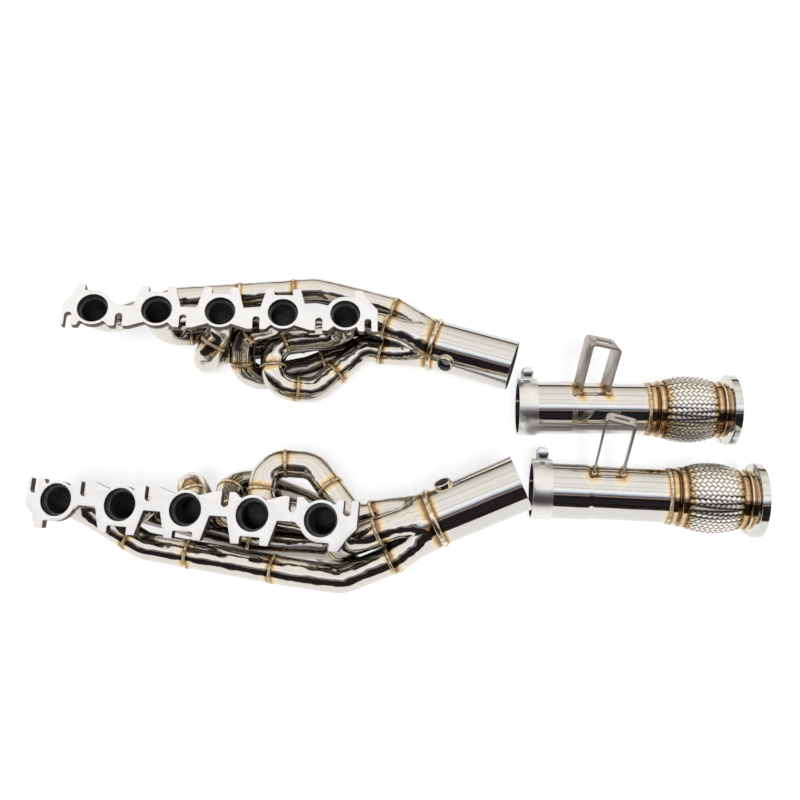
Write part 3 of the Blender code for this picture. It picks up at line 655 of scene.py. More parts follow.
def tint_group():
    """Heat bloom beside a weld: brown at the bead, then gold and straw, then bare metal."""
    group, given, result = new_group(
        "heat_bloom",
        [("Distance", "NodeSocketFloat"), ("Reach", "NodeSocketFloat"), ("Metal", "NodeSocketColor")],
        [("Colour", "NodeSocketColor")],
    )
    place = add_node(group, "ShaderNodeTexCoord").outputs["Object"]
    cloud = add_node(group, "ShaderNodeTexNoise", {"Vector": place, "Scale": 120, "Detail": 2})
    ragged = add_node(
        group, "ShaderNodeMapRange", {"Value": cloud.outputs["Fac"], "To Min": 0.6, "To Max": 1.4}
    )
    reach = add_node(
        group, "ShaderNodeMath", {0: given.outputs["Reach"], 1: ragged.outputs[0]}, operation="MULTIPLY"
    )
    share = add_node(
        group, "ShaderNodeMath", {0: given.outputs["Distance"], 1: reach.outputs[0]}, operation="DIVIDE"
    )
    ramp = add_node(group, "ShaderNodeValToRGB", {"Fac": share.outputs[0]})
    stops = (
        (0.0, (0.20, 0.13, 0.08)),
        (0.30, (0.40, 0.25, 0.13)),
        (0.50, (0.74, 0.54, 0.29)),
        (0.75, (0.79, 0.68, 0.49)),
    )
    ramp.color_ramp.elements.remove(ramp.color_ramp.elements[0])
    for position, colour in stops:
        ramp.color_ramp.elements.new(position).color = (*colour, 1)
    ramp.color_ramp.elements[-1].position = 1.0
    ramp.color_ramp.elements[-1].color = (0.76, 0.72, 0.64, 1)
    bare = add_node(
        group, "ShaderNodeMapRange", {"Value": share.outputs[0], "From Min": 0.55, "From Max": 1.3}
    )
    mixed = add_node(group, "ShaderNodeMix", {0: bare.outputs[0]}, data_type="RGBA")
    group.links.new(ramp.outputs["Color"], mixed.inputs[6])
    group.links.new(given.outputs["Metal"], mixed.inputs[7])
    group.links.new(mixed.outputs[2], result.inputs["Colour"])
    return group


HEAT_BLOOM = tint_group()
STEEL_COLOUR = (0.66, 0.645, 0.62)
BLOOM_REACH = 0.009
# Painted shade: the dark brown that crowded steel is mixed towards where other parts close round it.
CROWD_SHADE_COLOUR = (0.10, 0.08, 0.065)


def polished_steel(name, reach, metal, roughness, wave, ripples, crowd_shade):
    """Mirror-polished steel: heat bloom beside welds, a wavy surface, and painted shade that darkens the
    colour where tubes crowd.
    """
    material, tree, shader = new_metal(name, metal, roughness)
    distance = add_node(tree, "ShaderNodeAttribute", attribute_name="weld_distance")
    bloom = add_node(tree, "ShaderNodeGroup", node_tree=HEAT_BLOOM)
    tree.links.new(distance.outputs["Fac"], bloom.inputs["Distance"])
    bloom.inputs["Reach"].default_value = reach
    bloom.inputs["Metal"].default_value = (*metal, 1)
    colour = bloom.outputs["Colour"]
    # Painted shade: ambient occlusion mixes the colour towards a dark brown where other tubes are close.
    if crowd_shade:
        crowd = add_node(tree, "ShaderNodeAmbientOcclusion", {"Distance": 0.045}, samples=8)
        clear = add_node(
            tree,
            "ShaderNodeMapRange",
            {"Value": crowd.outputs["AO"], "From Min": 0.3, "From Max": 0.85, "To Min": 1 - crowd_shade},
        )
        shaded_colour = add_node(tree, "ShaderNodeMix", {0: clear.outputs[0]}, data_type="RGBA")
        shaded_colour.inputs[6].default_value = (*CROWD_SHADE_COLOUR, 1)
        tree.links.new(colour, shaded_colour.inputs[7])
        colour = shaded_colour.outputs[2]
    tree.links.new(colour, shader.inputs["Base Color"])
    place = add_node(tree, "ShaderNodeTexCoord").outputs["Object"]
    waves = add_node(tree, "ShaderNodeTexNoise", {"Vector": place, "Scale": ripples, "Detail": 1})
    relief = add_node(
        tree, "ShaderNodeBump", {"Strength": wave, "Distance": 0.004, "Height": waves.outputs["Fac"]}
    )
    tree.links.new(relief.outputs["Normal"], shader.inputs["Normal"])
    return material


polished = polished_steel(
    "polished_steel", BLOOM_REACH, STEEL_COLOUR, roughness=0.07, wave=0.06, ripples=26, crowd_shade=0
)
BENT_COLOUR = (0.69, 0.655, 0.60)
BENT_REACH = 0.012
bent_steel = polished_steel(
    "bent_steel", BENT_REACH, BENT_COLOUR, roughness=0.11, wave=0.4, ripples=48, crowd_shade=0.9
)

WELD_COLOUR = (0.72, 0.62, 0.44)
weld_metal, tree, shader = new_metal("weld_metal", WELD_COLOUR, 0.24)
place = add_node(tree, "ShaderNodeTexCoord").outputs["Object"]
patches = add_node(tree, "ShaderNodeTexNoise", {"Vector": place, "Scale": 150, "Detail": 2})
weld_ramp = add_node(tree, "ShaderNodeValToRGB", {"Fac": patches.outputs["Fac"]})
weld_ramp.color_ramp.elements[0].position = 0.34
weld_ramp.color_ramp.elements[0].color = (0.40, 0.29, 0.17, 1)
weld_ramp.color_ramp.elements[1].position = 0.66
weld_ramp.color_ramp.elements[1].color = (0.86, 0.80, 0.66, 1)
weld_ramp.color_ramp.elements.new(0.5).color = (*WELD_COLOUR, 1)
tree.links.new(weld_ramp.outputs["Color"], shader.inputs["Base Color"])


def mark_welds(mesh, distances):
    """Stores each point's distance from the nearest weld, for the heat bloom."""
    marks = mesh.attributes.new("weld_distance", "FLOAT", "POINT")
    marks.data.foreach_set("value", distances)


for bank, hand in HANDS.items():
    seams = []
    for index in range(PORT_COUNT):
        route = primary_route(index, hand)
        along = lengths_along(route)
        welds = [0, *TUBE_WELDS[bank][index], along[-1]]
        source = line_mesh("route", [route], closed=False)
        mark_welds(source, [min(abs(length - weld) for weld in welds) for length in along])
        values = {"Radius": TUBE_RADIUS, "Sides": TUBE_SIDES, "Material": bent_steel}
        guide = grown_mesh(source, TUBE_TREE, values)
        wall = guide.modifiers.new("wall", "SOLIDIFY")
        wall.thickness = TUBE_WALL
        wall.offset = -1
        mesh = settled_mesh(guide)
        name = f"bent_tube_{index + 1}_{bank}"
        tube = new_piece(name, mesh, [bent_steel, painted_shade], header_matrix(bank), 60)
        # Painted shade: the tube's inside wall takes the dark material.
        for face in mesh.polygons[(len(route) - 1) * TUBE_SIDES :]:
            face.material_index = 1
        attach(tube, WELDED)
        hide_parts(f"primary_{index + 1}_{bank}")
        for weld in welds:
            at = min(range(1, len(route) - 1), key=lambda i: abs(along[i] - weld))
            seams.append(ring_seam(route[at], route[at + 1] - route[at - 1], TUBE_RADIUS))
    beads = bead_piece(f"tube_welds_{bank}", seams, header_matrix(bank), 3)
    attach(beads, WELDED)

# Merge collectors: five round inlets that run together into one round outlet, pressed and
# welded from stainless. The valleys between the inlets fill out towards the outlet, so the
# outside turns from five lobes into a circle.
OUTLET_RADIUS = 0.0381
OUTLET_WALL = 0.0015
OUTLET_RING = OUTLET_RADIUS - TUBE_RADIUS
MERGE_START = 0.25
LOBE_STEPS = 22
LOFT_STATIONS = 28

PRESSED_COLOUR = (0.69, 0.66, 0.61)
pressed_steel = polished_steel(
    "pressed_steel", BENT_REACH, PRESSED_COLOUR, roughness=0.09, wave=0.55, ripples=55, crowd_shade=0.6
)


def merge_radius(part_way, off_lobe):
    """Outside of the collector: five round lobes whose valleys fill out into a circle."""
    ring = INLET_RING + (OUTLET_RING - INLET_RING) * part_way
    union = ring * math.cos(off_lobe)
    union += math.sqrt(max(0, TUBE_RADIUS**2 - (ring * math.sin(off_lobe)) ** 2))
    fill = max(0, (part_way - MERGE_START) / (1 - MERGE_START))
    fill = fill * fill * (3 - 2 * fill)
    return union + fill * (ring + TUBE_RADIUS - union)


for bank, hand in HANDS.items():
    mesh = bpy.data.meshes.new("collector")
    bm = bmesh.new()
    rings = []
    distances = []
    for station in range(LOFT_STATIONS):
        part_way = station / (LOFT_STATIONS - 1)
        along = part_way * COLLECTOR_LENGTH
        ring = []
        for step in range(LOBE_STEPS * PORT_COUNT):
            from_lobe = (step % LOBE_STEPS) / LOBE_STEPS
            off_lobe = min(from_lobe, 1 - from_lobe) * 2 * math.pi / PORT_COUNT
            radius = merge_radius(part_way, off_lobe)
            point = collector_point(hand, along, radius, inlet_angle(step / LOBE_STEPS))
            ring.append(bm.verts.new(point))
            distances.append(min(along, COLLECTOR_LENGTH - along))
        rings.append(ring)
    for low, high in zip(rings, rings[1:]):
        for i in range(len(low)):
            bm.faces.new((low[i - 1], low[i], high[i], high[i - 1]))
    bm.faces.new(rings[0])
    bm.faces.new(rings[-1])
    bmesh.ops.recalc_face_normals(bm, faces=bm.faces)
    bm.to_mesh(mesh)
    bm.free()
    mark_welds(mesh, distances)
    collector = new_piece(f"merge_collector_{bank}", mesh, [pressed_steel], header_matrix(bank), 50)
    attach(collector, WELDED)
    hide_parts(f"collector_{bank}")

# Outlet tubes: 76.2 mm stainless with a raised weld rim at the collector and a plain end that
# slips into a link pipe. A screwed boss for an oxygen sensor is welded to the upper side.
OUTLET_LENGTH = 0.128
OUTLET_RIM = (0.006, 0.003)
SENSOR_ALONG = 0.032
SENSOR_TURN = 30
SENSOR_RADIUS = 0.012
SENSOR_BORE = 0.0085
SENSOR_HEIGHT = 0.006
THREAD_PITCH = 0.0015
THREAD_DEPTH = 0.0007


def along_matrix(start, direction):
    """A frame at a point with its Z axis along a direction."""
    return Matrix.Translation(start) @ direction.to_track_quat("Z", "X").to_matrix().to_4x4()


def eased_profile(points, radius, step=15):
    """A closed (height, radius) profile with its corners rounded."""
    curve = eased([Vector((height, width, 0)) for height, width in points], radius, True, step)
    return [(point.x, point.y) for point in curve]


def refined(points, longest=0.003):
    """A closed profile with no run longer than a limit, so that bloom has points to sit on."""
    finer = []
    for start, end in zip(points, points[1:] + points[:1]):
        parts = max(1, math.ceil(math.dist(start, end) / longest))
        for part in range(parts):
            share = part / parts
            finer.append((start[0] + (end[0] - start[0]) * share, start[1] + (end[1] - start[1]) * share))
    return finer


def mark_rings(mesh, heights):
    """Marks a turned mesh by how far up its axis each point is from the nearest ring weld."""
    mark_welds(mesh, [min(abs(vertex.co.z - height) for height in heights) for vertex in mesh.vertices])


def darken_inside(mesh, radius):
    """Gives what faces the axis within a radius the second material, dark as painted shade of the bore."""
    for face in mesh.polygons:
        spoke = Vector((face.center.x, face.center.y, 0))
        if spoke.length < radius and face.normal.dot(spoke.normalized()) < -0.3:
            face.material_index = 1


for bank, hand in HANDS.items():
    weld, aim, first, second = collector_axes(hand)
    bore = OUTLET_RADIUS - OUTLET_WALL
    width, height = OUTLET_RIM
    rim = OUTLET_RADIUS + height
    outside = [(0, OUTLET_RADIUS), (0.001, rim), (width, rim), (width + height * 0.7, OUTLET_RADIUS)]
    profile = outside + [(OUTLET_LENGTH, OUTLET_RADIUS), (OUTLET_LENGTH, bore), (0, bore)]
    profile = refined(eased_profile(profile, 0.0016)[:-1])
    mesh = turned_mesh("outlet", profile, 128)
    mark_rings(mesh, (-0.002, width + 0.0015))
    darken_inside(mesh, OUTLET_RADIUS - 0.0002)
    for face in mesh.polygons:
        if math.hypot(face.center.x, face.center.y) > OUTLET_RADIUS + 0.0006:
            face.material_index = 2
    matrix = header_matrix(bank) @ along_matrix(weld, aim)
    outlet = new_piece(f"slip_outlet_{bank}", mesh, [polished, painted_shade, weld_metal], matrix, 40)
    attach(outlet, WELDED)
    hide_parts(f"outlet_tube_{bank}")

    turn = math.radians(SENSOR_TURN)
    spoke = second * math.cos(turn) + first * math.sin(turn)
    top = OUTLET_RADIUS + SENSOR_HEIGHT
    seat = OUTLET_RADIUS - 0.003
    profile = [(seat, SENSOR_RADIUS), (top - 0.0008, SENSOR_RADIUS), (top, SENSOR_RADIUS - 0.0008)]
    profile += [(top, SENSOR_BORE + 0.0008)]
    threads = int((top - seat) / THREAD_PITCH)
    for thread in range(threads):
        crest = top - 0.0008 - thread * THREAD_PITCH
        profile += [(crest, SENSOR_BORE), (crest - THREAD_PITCH / 2, SENSOR_BORE + THREAD_DEPTH)]
    profile += [(seat, SENSOR_BORE)]
    mesh = turned_mesh("boss", profile, 48)
    mark_rings(mesh, (seat - 0.001,))
    darken_inside(mesh, SENSOR_BORE + 2 * THREAD_DEPTH)
    matrix = header_matrix(bank) @ along_matrix(weld + aim * SENSOR_ALONG, spoke)
    boss = new_piece(f"sensor_boss_{bank}", mesh, [polished, painted_shade], matrix, 30)
    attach(boss, WELDED)
    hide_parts(f"sensor_bung_{bank}")
    side = aim.cross(spoke)
    seam = []
    for step in range(40):
        angle = 2 * math.pi * step / 40
        across = SENSOR_RADIUS * math.sin(angle)
        lift = math.sqrt(OUTLET_RADIUS**2 - across**2)
        point = weld + aim * (SENSOR_ALONG + SENSOR_RADIUS * math.cos(angle)) + side * across + spoke * lift
        way = (aim * math.cos(angle) + side * math.sin(angle) + spoke).normalized()
        seam.append((point, way))
    beads = bead_piece(f"boss_weld_{bank}", [seam], header_matrix(bank), 5, 0.004, 0.0012)
    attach(beads, WELDED)

# Link pipes: 76.2 mm stainless, swaged out at one end into a slip socket. The socket is slit
# so that its clamp can close it on the header's outlet.
PIPE_LENGTH = 0.192
SOCKET_LENGTH = 0.078
SOCKET_TAPER = 0.006
SOCKET_RADIUS = 0.0400
SLIT_TURNS = (45, 135, 225, 315)
SLIT_LENGTH = 0.027
SLIT_WIDTH = 0.003
LEG_PLACES = (0.0875, 0.128)
STRAP_SKEW = 0.2
BRACKET_TURNS = {"left": 28, "right": 40}
FOOT_SPREAD = 0.6


def cut(mesh, cutter):
    """A mesh with another taken out of it."""
    guide = bpy.data.objects.new(mesh.name, mesh)
    tool = bpy.data.objects.new(cutter.name, cutter)
    for made in (guide, tool):
        bpy.context.scene.collection.objects.link(made)
    boolean = guide.modifiers.new("cut", "BOOLEAN")
    boolean.object = tool
    result = settled_mesh(guide)
    bpy.data.objects.remove(tool)
    return result


def box_mesh(name, low, high):
    """A box between two corners."""
    mesh = bpy.data.meshes.new(name)
    bm = bmesh.new()
    size = Vector(high) - Vector(low)
    middle = Matrix.Translation((Vector(high) + Vector(low)) / 2)
    bmesh.ops.create_cube(bm, size=1, matrix=middle @ Matrix.Diagonal((*size, 1)))
    bm.to_mesh(mesh)
    bm.free()
    return mesh


def foot_distance(bank, point):
    """How far a point of the link pipe is from the nearest weld of the bracket's feet."""
    turn = math.radians(-BRACKET_TURNS[bank])
    up = point.x * math.cos(turn) + point.y * math.sin(turn)
    across = -point.x * math.sin(turn) + point.y * math.cos(turn)
    if up < 0:
        return 1
    beyond = max(0, abs(across) - 0.015)
    skewed = point.z + HANDS[bank] * STRAP_SKEW * across
    return min(math.hypot(skewed - leg, beyond) for leg in LEG_PLACES)


def pipe_outside():
    """The pipe's outside from its slit end: the socket, an eased swage, then the plain pipe."""
    swage = SOCKET_LENGTH + SOCKET_TAPER
    corners = [(0, SOCKET_RADIUS), (SOCKET_LENGTH, SOCKET_RADIUS), (swage, OUTLET_RADIUS)]
    curve = eased([Vector((*corner, 0)) for corner in [*corners, (PIPE_LENGTH, OUTLET_RADIUS)]], 0.008)
    return [(point.x, point.y) for point in curve]


for bank in HANDS:
    outside = pipe_outside()
    inside = [(height, radius - OUTLET_WALL) for height, radius in outside]
    mesh = turned_mesh("pipe", refined(outside + inside[::-1]), 128)
    for turn in SLIT_TURNS:
        saw = box_mesh("saw", (0, -SLIT_WIDTH / 2, -0.01), (0.06, SLIT_WIDTH / 2, SLIT_LENGTH))
        saw.transform(Matrix.Rotation(math.radians(turn), 4, "Z"))
        mesh = cut(mesh, saw)
    distances = []
    for vertex in mesh.vertices:
        foot = FOOT_SPREAD * foot_distance(bank, vertex.co)
        distances.append(min(abs(vertex.co.z - PIPE_LENGTH), foot))
    mark_welds(mesh, distances)
    darken_inside(mesh, SOCKET_RADIUS - 0.0002)
    pipe = new_piece(f"slip_pipe_{bank}", mesh, [polished, painted_shade], link_matrix(bank), 40)
    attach(pipe, WELDED)
    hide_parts(f"link_pipe_{bank}")

# Band clamps: a satin stainless band round each socket with its two ends turned up as lugs.
# A zinc-plated bolt and nut draw the lugs together over a square reaction block.
BAND_WIDTH = 0.028
BAND_BORE = 0.0404
BAND_RADIUS = 0.0421
LUG_GAP = 0.014
LUG_FACE = 0.0087
LUG_WIDTH = 0.016
LUG_HEIGHT = 0.020
LUG_TURN = 60
SPACER_WIDTH = 0.012
BOLT_AXIS = 0.0541
BOLT_RADIUS = 0.00475
BOLT_TAIL = 0.008
HEX_RADIUS = 0.0145 / 2 / math.cos(math.pi / 6)
HEAD_HEIGHT = 0.0062
NUT_HEIGHT = 0.008
BOLT_PITCH = 0.0254 / 16
SEAT_GAP = 0.0003

SATIN_COLOUR = (0.86, 0.84, 0.80)
satin, tree, shader = new_metal("satin_steel", SATIN_COLOUR, 0.31)
add_grain(tree, shader, SATIN_COLOUR, (1600, 60, 60), 0.82, 0.2)
ZINC_COLOUR = (0.76, 0.82, 0.86)
zinc, tree, shader = new_metal("zinc_plate", ZINC_COLOUR, 0.2)
add_grain(tree, shader, ZINC_COLOUR, (300, 300, 300), 0.85, 0.12)


def soften(mesh, width, segments=2):
    """Rounds the sharp edges of a mesh."""
    guide = bpy.data.objects.new(mesh.name, mesh)
    bpy.context.scene.collection.objects.link(guide)
    bevel = guide.modifiers.new("edges", "BEVEL")
    bevel.width = width
    bevel.segments = segments
    bevel.limit_method = "ANGLE"
    bevel.angle_limit = math.radians(40)
    return settled_mesh(guide)


def rod_mesh(name, low, high, radius, steps):
    """A cylinder or prism up the Z axis between two heights."""
    mesh = bpy.data.meshes.new(name)
    bm = bmesh.new()
    lift = Matrix.Translation((0, 0, (low + high) / 2))
    bmesh.ops.create_cone(
        bm, cap_ends=True, segments=steps, radius1=radius, radius2=radius, depth=high - low, matrix=lift
    )
    bm.to_mesh(mesh)
    bm.free()
    return mesh


for bank in HANDS:
    tilt = Matrix.Rotation(math.radians(-LUG_TURN), 4, "Z")
    clamp = link_matrix(bank) @ Matrix.Translation((0, 0, BAND_WIDTH / 2)) @ tilt
    across = Matrix.Translation((BOLT_AXIS, 0, 0)) @ Matrix.Rotation(math.radians(-90), 4, "X")
    top = BAND_RADIUS + LUG_HEIGHT
    outer = math.degrees(math.asin(LUG_FACE / BAND_RADIUS))
    inner = math.degrees(math.asin(LUG_GAP / 2 / BAND_BORE))
    outline = [Vector((top, LUG_GAP / 2, 0)), Vector((top, LUG_FACE, 0))]
    outline += arc(0, BAND_RADIUS, outer, 360 - outer, 96)
    outline += [Vector((top, -LUG_FACE, 0)), Vector((top, -LUG_GAP / 2, 0))]
    outline += arc(0, BAND_BORE, 360 - inner, inner, 96)
    mesh = plate_mesh("band", [eased(outline, 0.0016, True, 20)], BAND_WIDTH, 0.0003)
    for end in (-1, 1):
        corners = sorted((end * LUG_WIDTH / 2, end * BAND_WIDTH))
        low = (BAND_RADIUS + 0.0022, -0.02, corners[0])
        mesh = cut(mesh, box_mesh("trim", low, (2 * top, 0.02, corners[1])))
    rounding = rod_mesh("rounding", -0.03, 0.03, LUG_WIDTH / 2, 48)
    rounding.transform(across)
    corners = cut(box_mesh("corners", (BOLT_AXIS, -0.025, -0.02), (2 * top, 0.025, 0.02)), rounding)
    mesh = cut(mesh, corners.copy())
    hole = rod_mesh("hole", -0.03, 0.03, BOLT_RADIUS + 0.0004, 32)
    hole.transform(across)
    mesh = cut(mesh, hole)
    band = new_piece(f"band_strap_{bank}", mesh, [satin], clamp, 30)
    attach(band, f"clamp_{bank}")
    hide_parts(f"clamp_band_{bank}")

    half = LUG_GAP / 2 - SEAT_GAP
    low = (BAND_BORE, -half, -SPACER_WIDTH / 2)
    mesh = cut(box_mesh("block", low, (top, half, SPACER_WIDTH / 2)), corners)
    hole = rod_mesh("hole", -0.03, 0.03, BOLT_RADIUS + 0.0004, 32)
    hole.transform(across)
    mesh = soften(cut(mesh, hole), 0.0007)
    block = new_piece(f"lug_block_{bank}", mesh, [zinc], clamp, 40)
    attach(block, f"clamp_{bank}")
    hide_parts(f"clamp_spacer_{bank}")

    reach = LUG_FACE + SEAT_GAP
    tail = reach + NUT_HEIGHT + BOLT_TAIL
    head = soften(rod_mesh("head", reach, reach + HEAD_HEIGHT, HEX_RADIUS, 6), 0.0009)
    thread = [(reach + 0.001, 0.0005), (reach + 0.001, BOLT_RADIUS), (-reach, BOLT_RADIUS)]
    for turn in range(int((tail - reach) / BOLT_PITCH)):
        crest = -reach - turn * BOLT_PITCH
        thread += [(crest - BOLT_PITCH / 2, BOLT_RADIUS - 0.0008), (crest - BOLT_PITCH, BOLT_RADIUS)]
    thread += [(-tail, BOLT_RADIUS - 0.001), (-tail, 0.0005)]
    mesh = joined("bolt", [head, turned_mesh("shank", thread, 32)])
    bolt = new_piece(f"hex_bolt_{bank}", mesh, [zinc], clamp @ across, 30)
    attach(bolt, f"bolt_{bank}")
    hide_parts(f"clamp_bolt_{bank}")

    mesh = rod_mesh("nut", -reach - NUT_HEIGHT, -reach, HEX_RADIUS, 6)
    mesh = soften(cut(mesh, rod_mesh("hole", -0.04, 0.04, BOLT_RADIUS + 0.0004, 32)), 0.0006)
    nut = new_piece(f"hex_nut_{bank}", mesh, [zinc], clamp @ across, 30)
    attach(nut, f"nut_{bank}")
    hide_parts(f"clamp_nut_{bank}")

# Hanger brackets: 30 mm strap, 3 mm thick, bent to a U and brushed, with a slot in its top for
# the chassis bolt. Its legs are cut to the pipe and welded on both sides.
STRAP_THICKNESS = 0.003
STRAP_WIDTH = 0.030
STRAP_BEND = 0.0045
STRAP_HEIGHTS = (0.079, 0.070)
STRAP_LEAN = 0.010
STRAP_SLOT = (0.023, 0.0085)

BRUSHED_COLOUR = (0.72, 0.67, 0.61)
brushed, tree, shader = new_metal("brushed_strap", BRUSHED_COLOUR, 0.38)
add_grain(tree, shader, BRUSHED_COLOUR, (700, 700, 40), 0.58, 0.3)

for bank, hand in HANDS.items():
    tops = []
    feet = []
    depth = OUTLET_RADIUS / 2
    for leg, up in zip(LEG_PLACES, STRAP_HEIGHTS):
        tops.append(Vector((leg + STRAP_LEAN, OUTLET_RADIUS + up, 0)))
        feet.append(Vector((leg - STRAP_LEAN * depth / up, OUTLET_RADIUS - depth, 0)))
    skew = Matrix.Shear("XY", 4, (-hand * STRAP_SKEW, 0))
    path = eased([feet[0], *tops, feet[1]], STRAP_BEND, step=9)
    strap = bpy.data.meshes.new("strap")
    half = STRAP_WIDTH / 2
    points = [(point.x, point.y, side) for point in path for side in (-half, half)]
    faces = [(2 * i, 2 * i + 1, 2 * i + 3, 2 * i + 2) for i in range(len(path) - 1)]
    strap.from_pydata(points, [], faces)
    guide = bpy.data.objects.new("strap", strap)
    bpy.context.scene.collection.objects.link(guide)
    thick = guide.modifiers.new("thick", "SOLIDIFY")
    thick.thickness = STRAP_THICKNESS
    thick.offset = 0
    mesh = settled_mesh(guide)
    weld_corners(mesh)
    swap = Matrix(((0, 1, 0, 0), (0, 0, 1, 0), (1, 0, 0, 0), (0, 0, 0, 1)))
    mesh.transform(swap @ skew)
    seat = [(height, radius + SEAT_GAP) for height, radius in pipe_outside()]
    mesh = cut(mesh, turned_mesh("seat", [*seat, (PIPE_LENGTH, 0.001), (0, 0.001)], 128))
    long, wide = (size / 2 for size in STRAP_SLOT)
    ends = [Vector((long - wide, 0, 0)) + point for point in arc(0, wide, -90, 90)]
    ends += [Vector((wide - long, 0, 0)) + point for point in arc(0, wide, 90, 270)]
    slot = plate_mesh("slot", [ends], 4 * STRAP_THICKNESS, 0.0001)
    run = tops[1] - tops[0]
    lie = Matrix.Rotation(math.atan2(run.y, run.x), 4, "Z") @ Matrix.Rotation(math.radians(90), 4, "X")
    slot.transform(swap @ skew @ Matrix.Translation((tops[0] + tops[1]) / 2) @ lie)
    mesh = soften(cut(mesh, slot), 0.0005)
    upright = Matrix.Rotation(math.radians(-BRACKET_TURNS[bank]), 4, "Z")
    bracket = new_piece(f"hanger_strap_{bank}", mesh, [brushed], link_matrix(bank) @ upright, 40)
    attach(bracket, WELDED)
    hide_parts(f"bracket_{bank}")
    seams = []
    for leg in LEG_PLACES:
        near = STRAP_THICKNESS / 2 + 0.0008
        corners = [(-near, -half), (near, -half), (near, half), (-near, half)]
        corners = [(along - hand * STRAP_SKEW * side, side) for along, side in corners]
        loop = eased([Vector((along, side, 0)) for along, side in corners], near, True, 15)
        seam = []
        for point in loop:
            lift = math.sqrt(OUTLET_RADIUS**2 - point.y**2)
            out = Vector((lift, point.y, 0)).normalized()
            side = point.x + hand * STRAP_SKEW * point.y
            way = (out + Vector((0, 0, math.copysign(0.8, side)))).normalized()
            seam.append((Vector((lift, point.y, leg + point.x)), way))
        seams.append(seam)
    beads = bead_piece(f"strap_welds_{bank}", seams, link_matrix(bank) @ upright, 7, 0.005, 0.0018)
    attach(beads, WELDED)

# Flex joints: a bellows inside a woven sleeve, with a liner inside that keeps the gas off the
# folds. Collars at both ends clamp the sleeve, and are welded to the pipe and to the V-band.
INLET_COLLAR = 0.023
INLET_COLLAR_STEPS = (0.08, 0.40, 0.48, 0.54, 0.64)
OUTLET_COLLAR = 0.010
COLLAR_RADIUS = OUTLET_RADIUS + 0.0024
CUFF_RADIUS = OUTLET_RADIUS + 0.0044
FLEX_LENGTH = 0.073
BRAID_RADIUS = 0.050
BRAID_FULLNESS = 2.2
BRAID_START = PIPE_LENGTH + INLET_COLLAR
BRAID_END = BRAID_START + FLEX_LENGTH
COLLAR_END = BRAID_END + OUTLET_COLLAR
BELLOWS_FOLDS = 9
BRAID_THICKNESS = 0.0015

COLLAR_REACH = 0.0098
hot_polished = polished_steel(
    "heat_marked_steel", COLLAR_REACH, STEEL_COLOUR, roughness=0.08, wave=0.1, ripples=60, crowd_shade=0
)


def braid_radius(part_way):
    """Outside of the sleeve: a barrel between the two cuffs."""
    return CUFF_RADIUS + (BRAID_RADIUS - CUFF_RADIUS) * (1 - abs(2 * part_way - 1) ** BRAID_FULLNESS)


for bank in HANDS:
    matrix = link_matrix(bank)
    bore = OUTLET_RADIUS - OUTLET_WALL
    groove = OUTLET_RADIUS + 0.0003
    steps = zip(INLET_COLLAR_STEPS, (COLLAR_RADIUS, COLLAR_RADIUS, groove, groove, CUFF_RADIUS))
    profile = [(PIPE_LENGTH, groove)]
    profile += [(PIPE_LENGTH + step * INLET_COLLAR, radius) for step, radius in steps]
    profile += [(BRAID_START, CUFF_RADIUS), (BRAID_START, bore), (PIPE_LENGTH, bore)]
    mesh = turned_mesh("collar", refined(eased_profile(profile, 0.0014)), 128)
    mark_rings(mesh, (PIPE_LENGTH, PIPE_LENGTH + 0.51 * INLET_COLLAR, BRAID_START))
    collar = new_piece(f"inlet_cuff_{bank}", mesh, [hot_polished], matrix, 40)
    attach(collar, WELDED)
    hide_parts(f"flex_inlet_collar_{bank}")
    seam = ring_seam(Vector((0, 0, PIPE_LENGTH)), Vector((0, 0, 1)), OUTLET_RADIUS + 0.0003, 96)
    beads = bead_piece(f"flex_weld_{bank}", [seam], matrix, 11, 0.0065, 0.0016, 0.0021)
    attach(beads, WELDED)

    profile = [(BRAID_END, CUFF_RADIUS), (BRAID_END + 0.1 * OUTLET_COLLAR, CUFF_RADIUS)]
    profile += [(BRAID_END + 0.2 * OUTLET_COLLAR, COLLAR_RADIUS), (COLLAR_END, COLLAR_RADIUS)]
    profile += [(COLLAR_END, bore), (BRAID_END, bore)]
    mesh = turned_mesh("collar", refined(eased_profile(profile, 0.0008)), 128)
    mark_rings(mesh, (BRAID_END, COLLAR_END))
    collar = new_piece(f"outlet_cuff_{bank}", mesh, [hot_polished], matrix, 40)
    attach(collar, f"flex_outlet_{bank}")
    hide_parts(f"flex_outlet_collar_{bank}")

    root = bore + 0.0006
    folds = []
    for index in range(8 * BELLOWS_FOLDS + 1):
        part_way = index / (8 * BELLOWS_FOLDS)
        crest = braid_radius(part_way) - BRAID_THICKNESS - 0.0012
        swell = (1 - math.cos(2 * math.pi * BELLOWS_FOLDS * part_way)) / 2
        folds.append((BRAID_START + FLEX_LENGTH * part_way, root + (crest - root) * swell))
    inside = [(height, radius - 0.0004) for height, radius in folds]
    mesh = turned_mesh("bellows", folds + inside[::-1], 64)
    # Painted shade: the bellows are satin steel but take the dark material, since they show only in the
    # shaded gaps of the sleeve.
    bellows = new_piece(f"folded_bellows_{bank}", mesh, [painted_shade], matrix, 60)
    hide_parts(f"flex_bellows_{bank}")
    end = matrix @ Vector((0, 0, BRAID_END))
    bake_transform(bellows)
    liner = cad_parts[f"flex_liner_{bank}"]
    # Painted shade: the liner takes the dark material too.
    liner.data.materials.clear()
    liner.data.materials.append(painted_shade)

# Woven sleeves: flat bundles of hard-drawn stainless wire, plaited over two and under two in
# both directions round each bellows. The sleeve stops the bellows from stretching.
BUNDLES = 48
BUNDLE_SIZE = (0.00032, 0.0022)
BUNDLE_WIRES = 7
WEAVE_LIFT = 0.0009
WEAVE_STEEPNESS = 1.6
PLAIT_ANGLE = 42
BUNDLE_STATIONS = 60

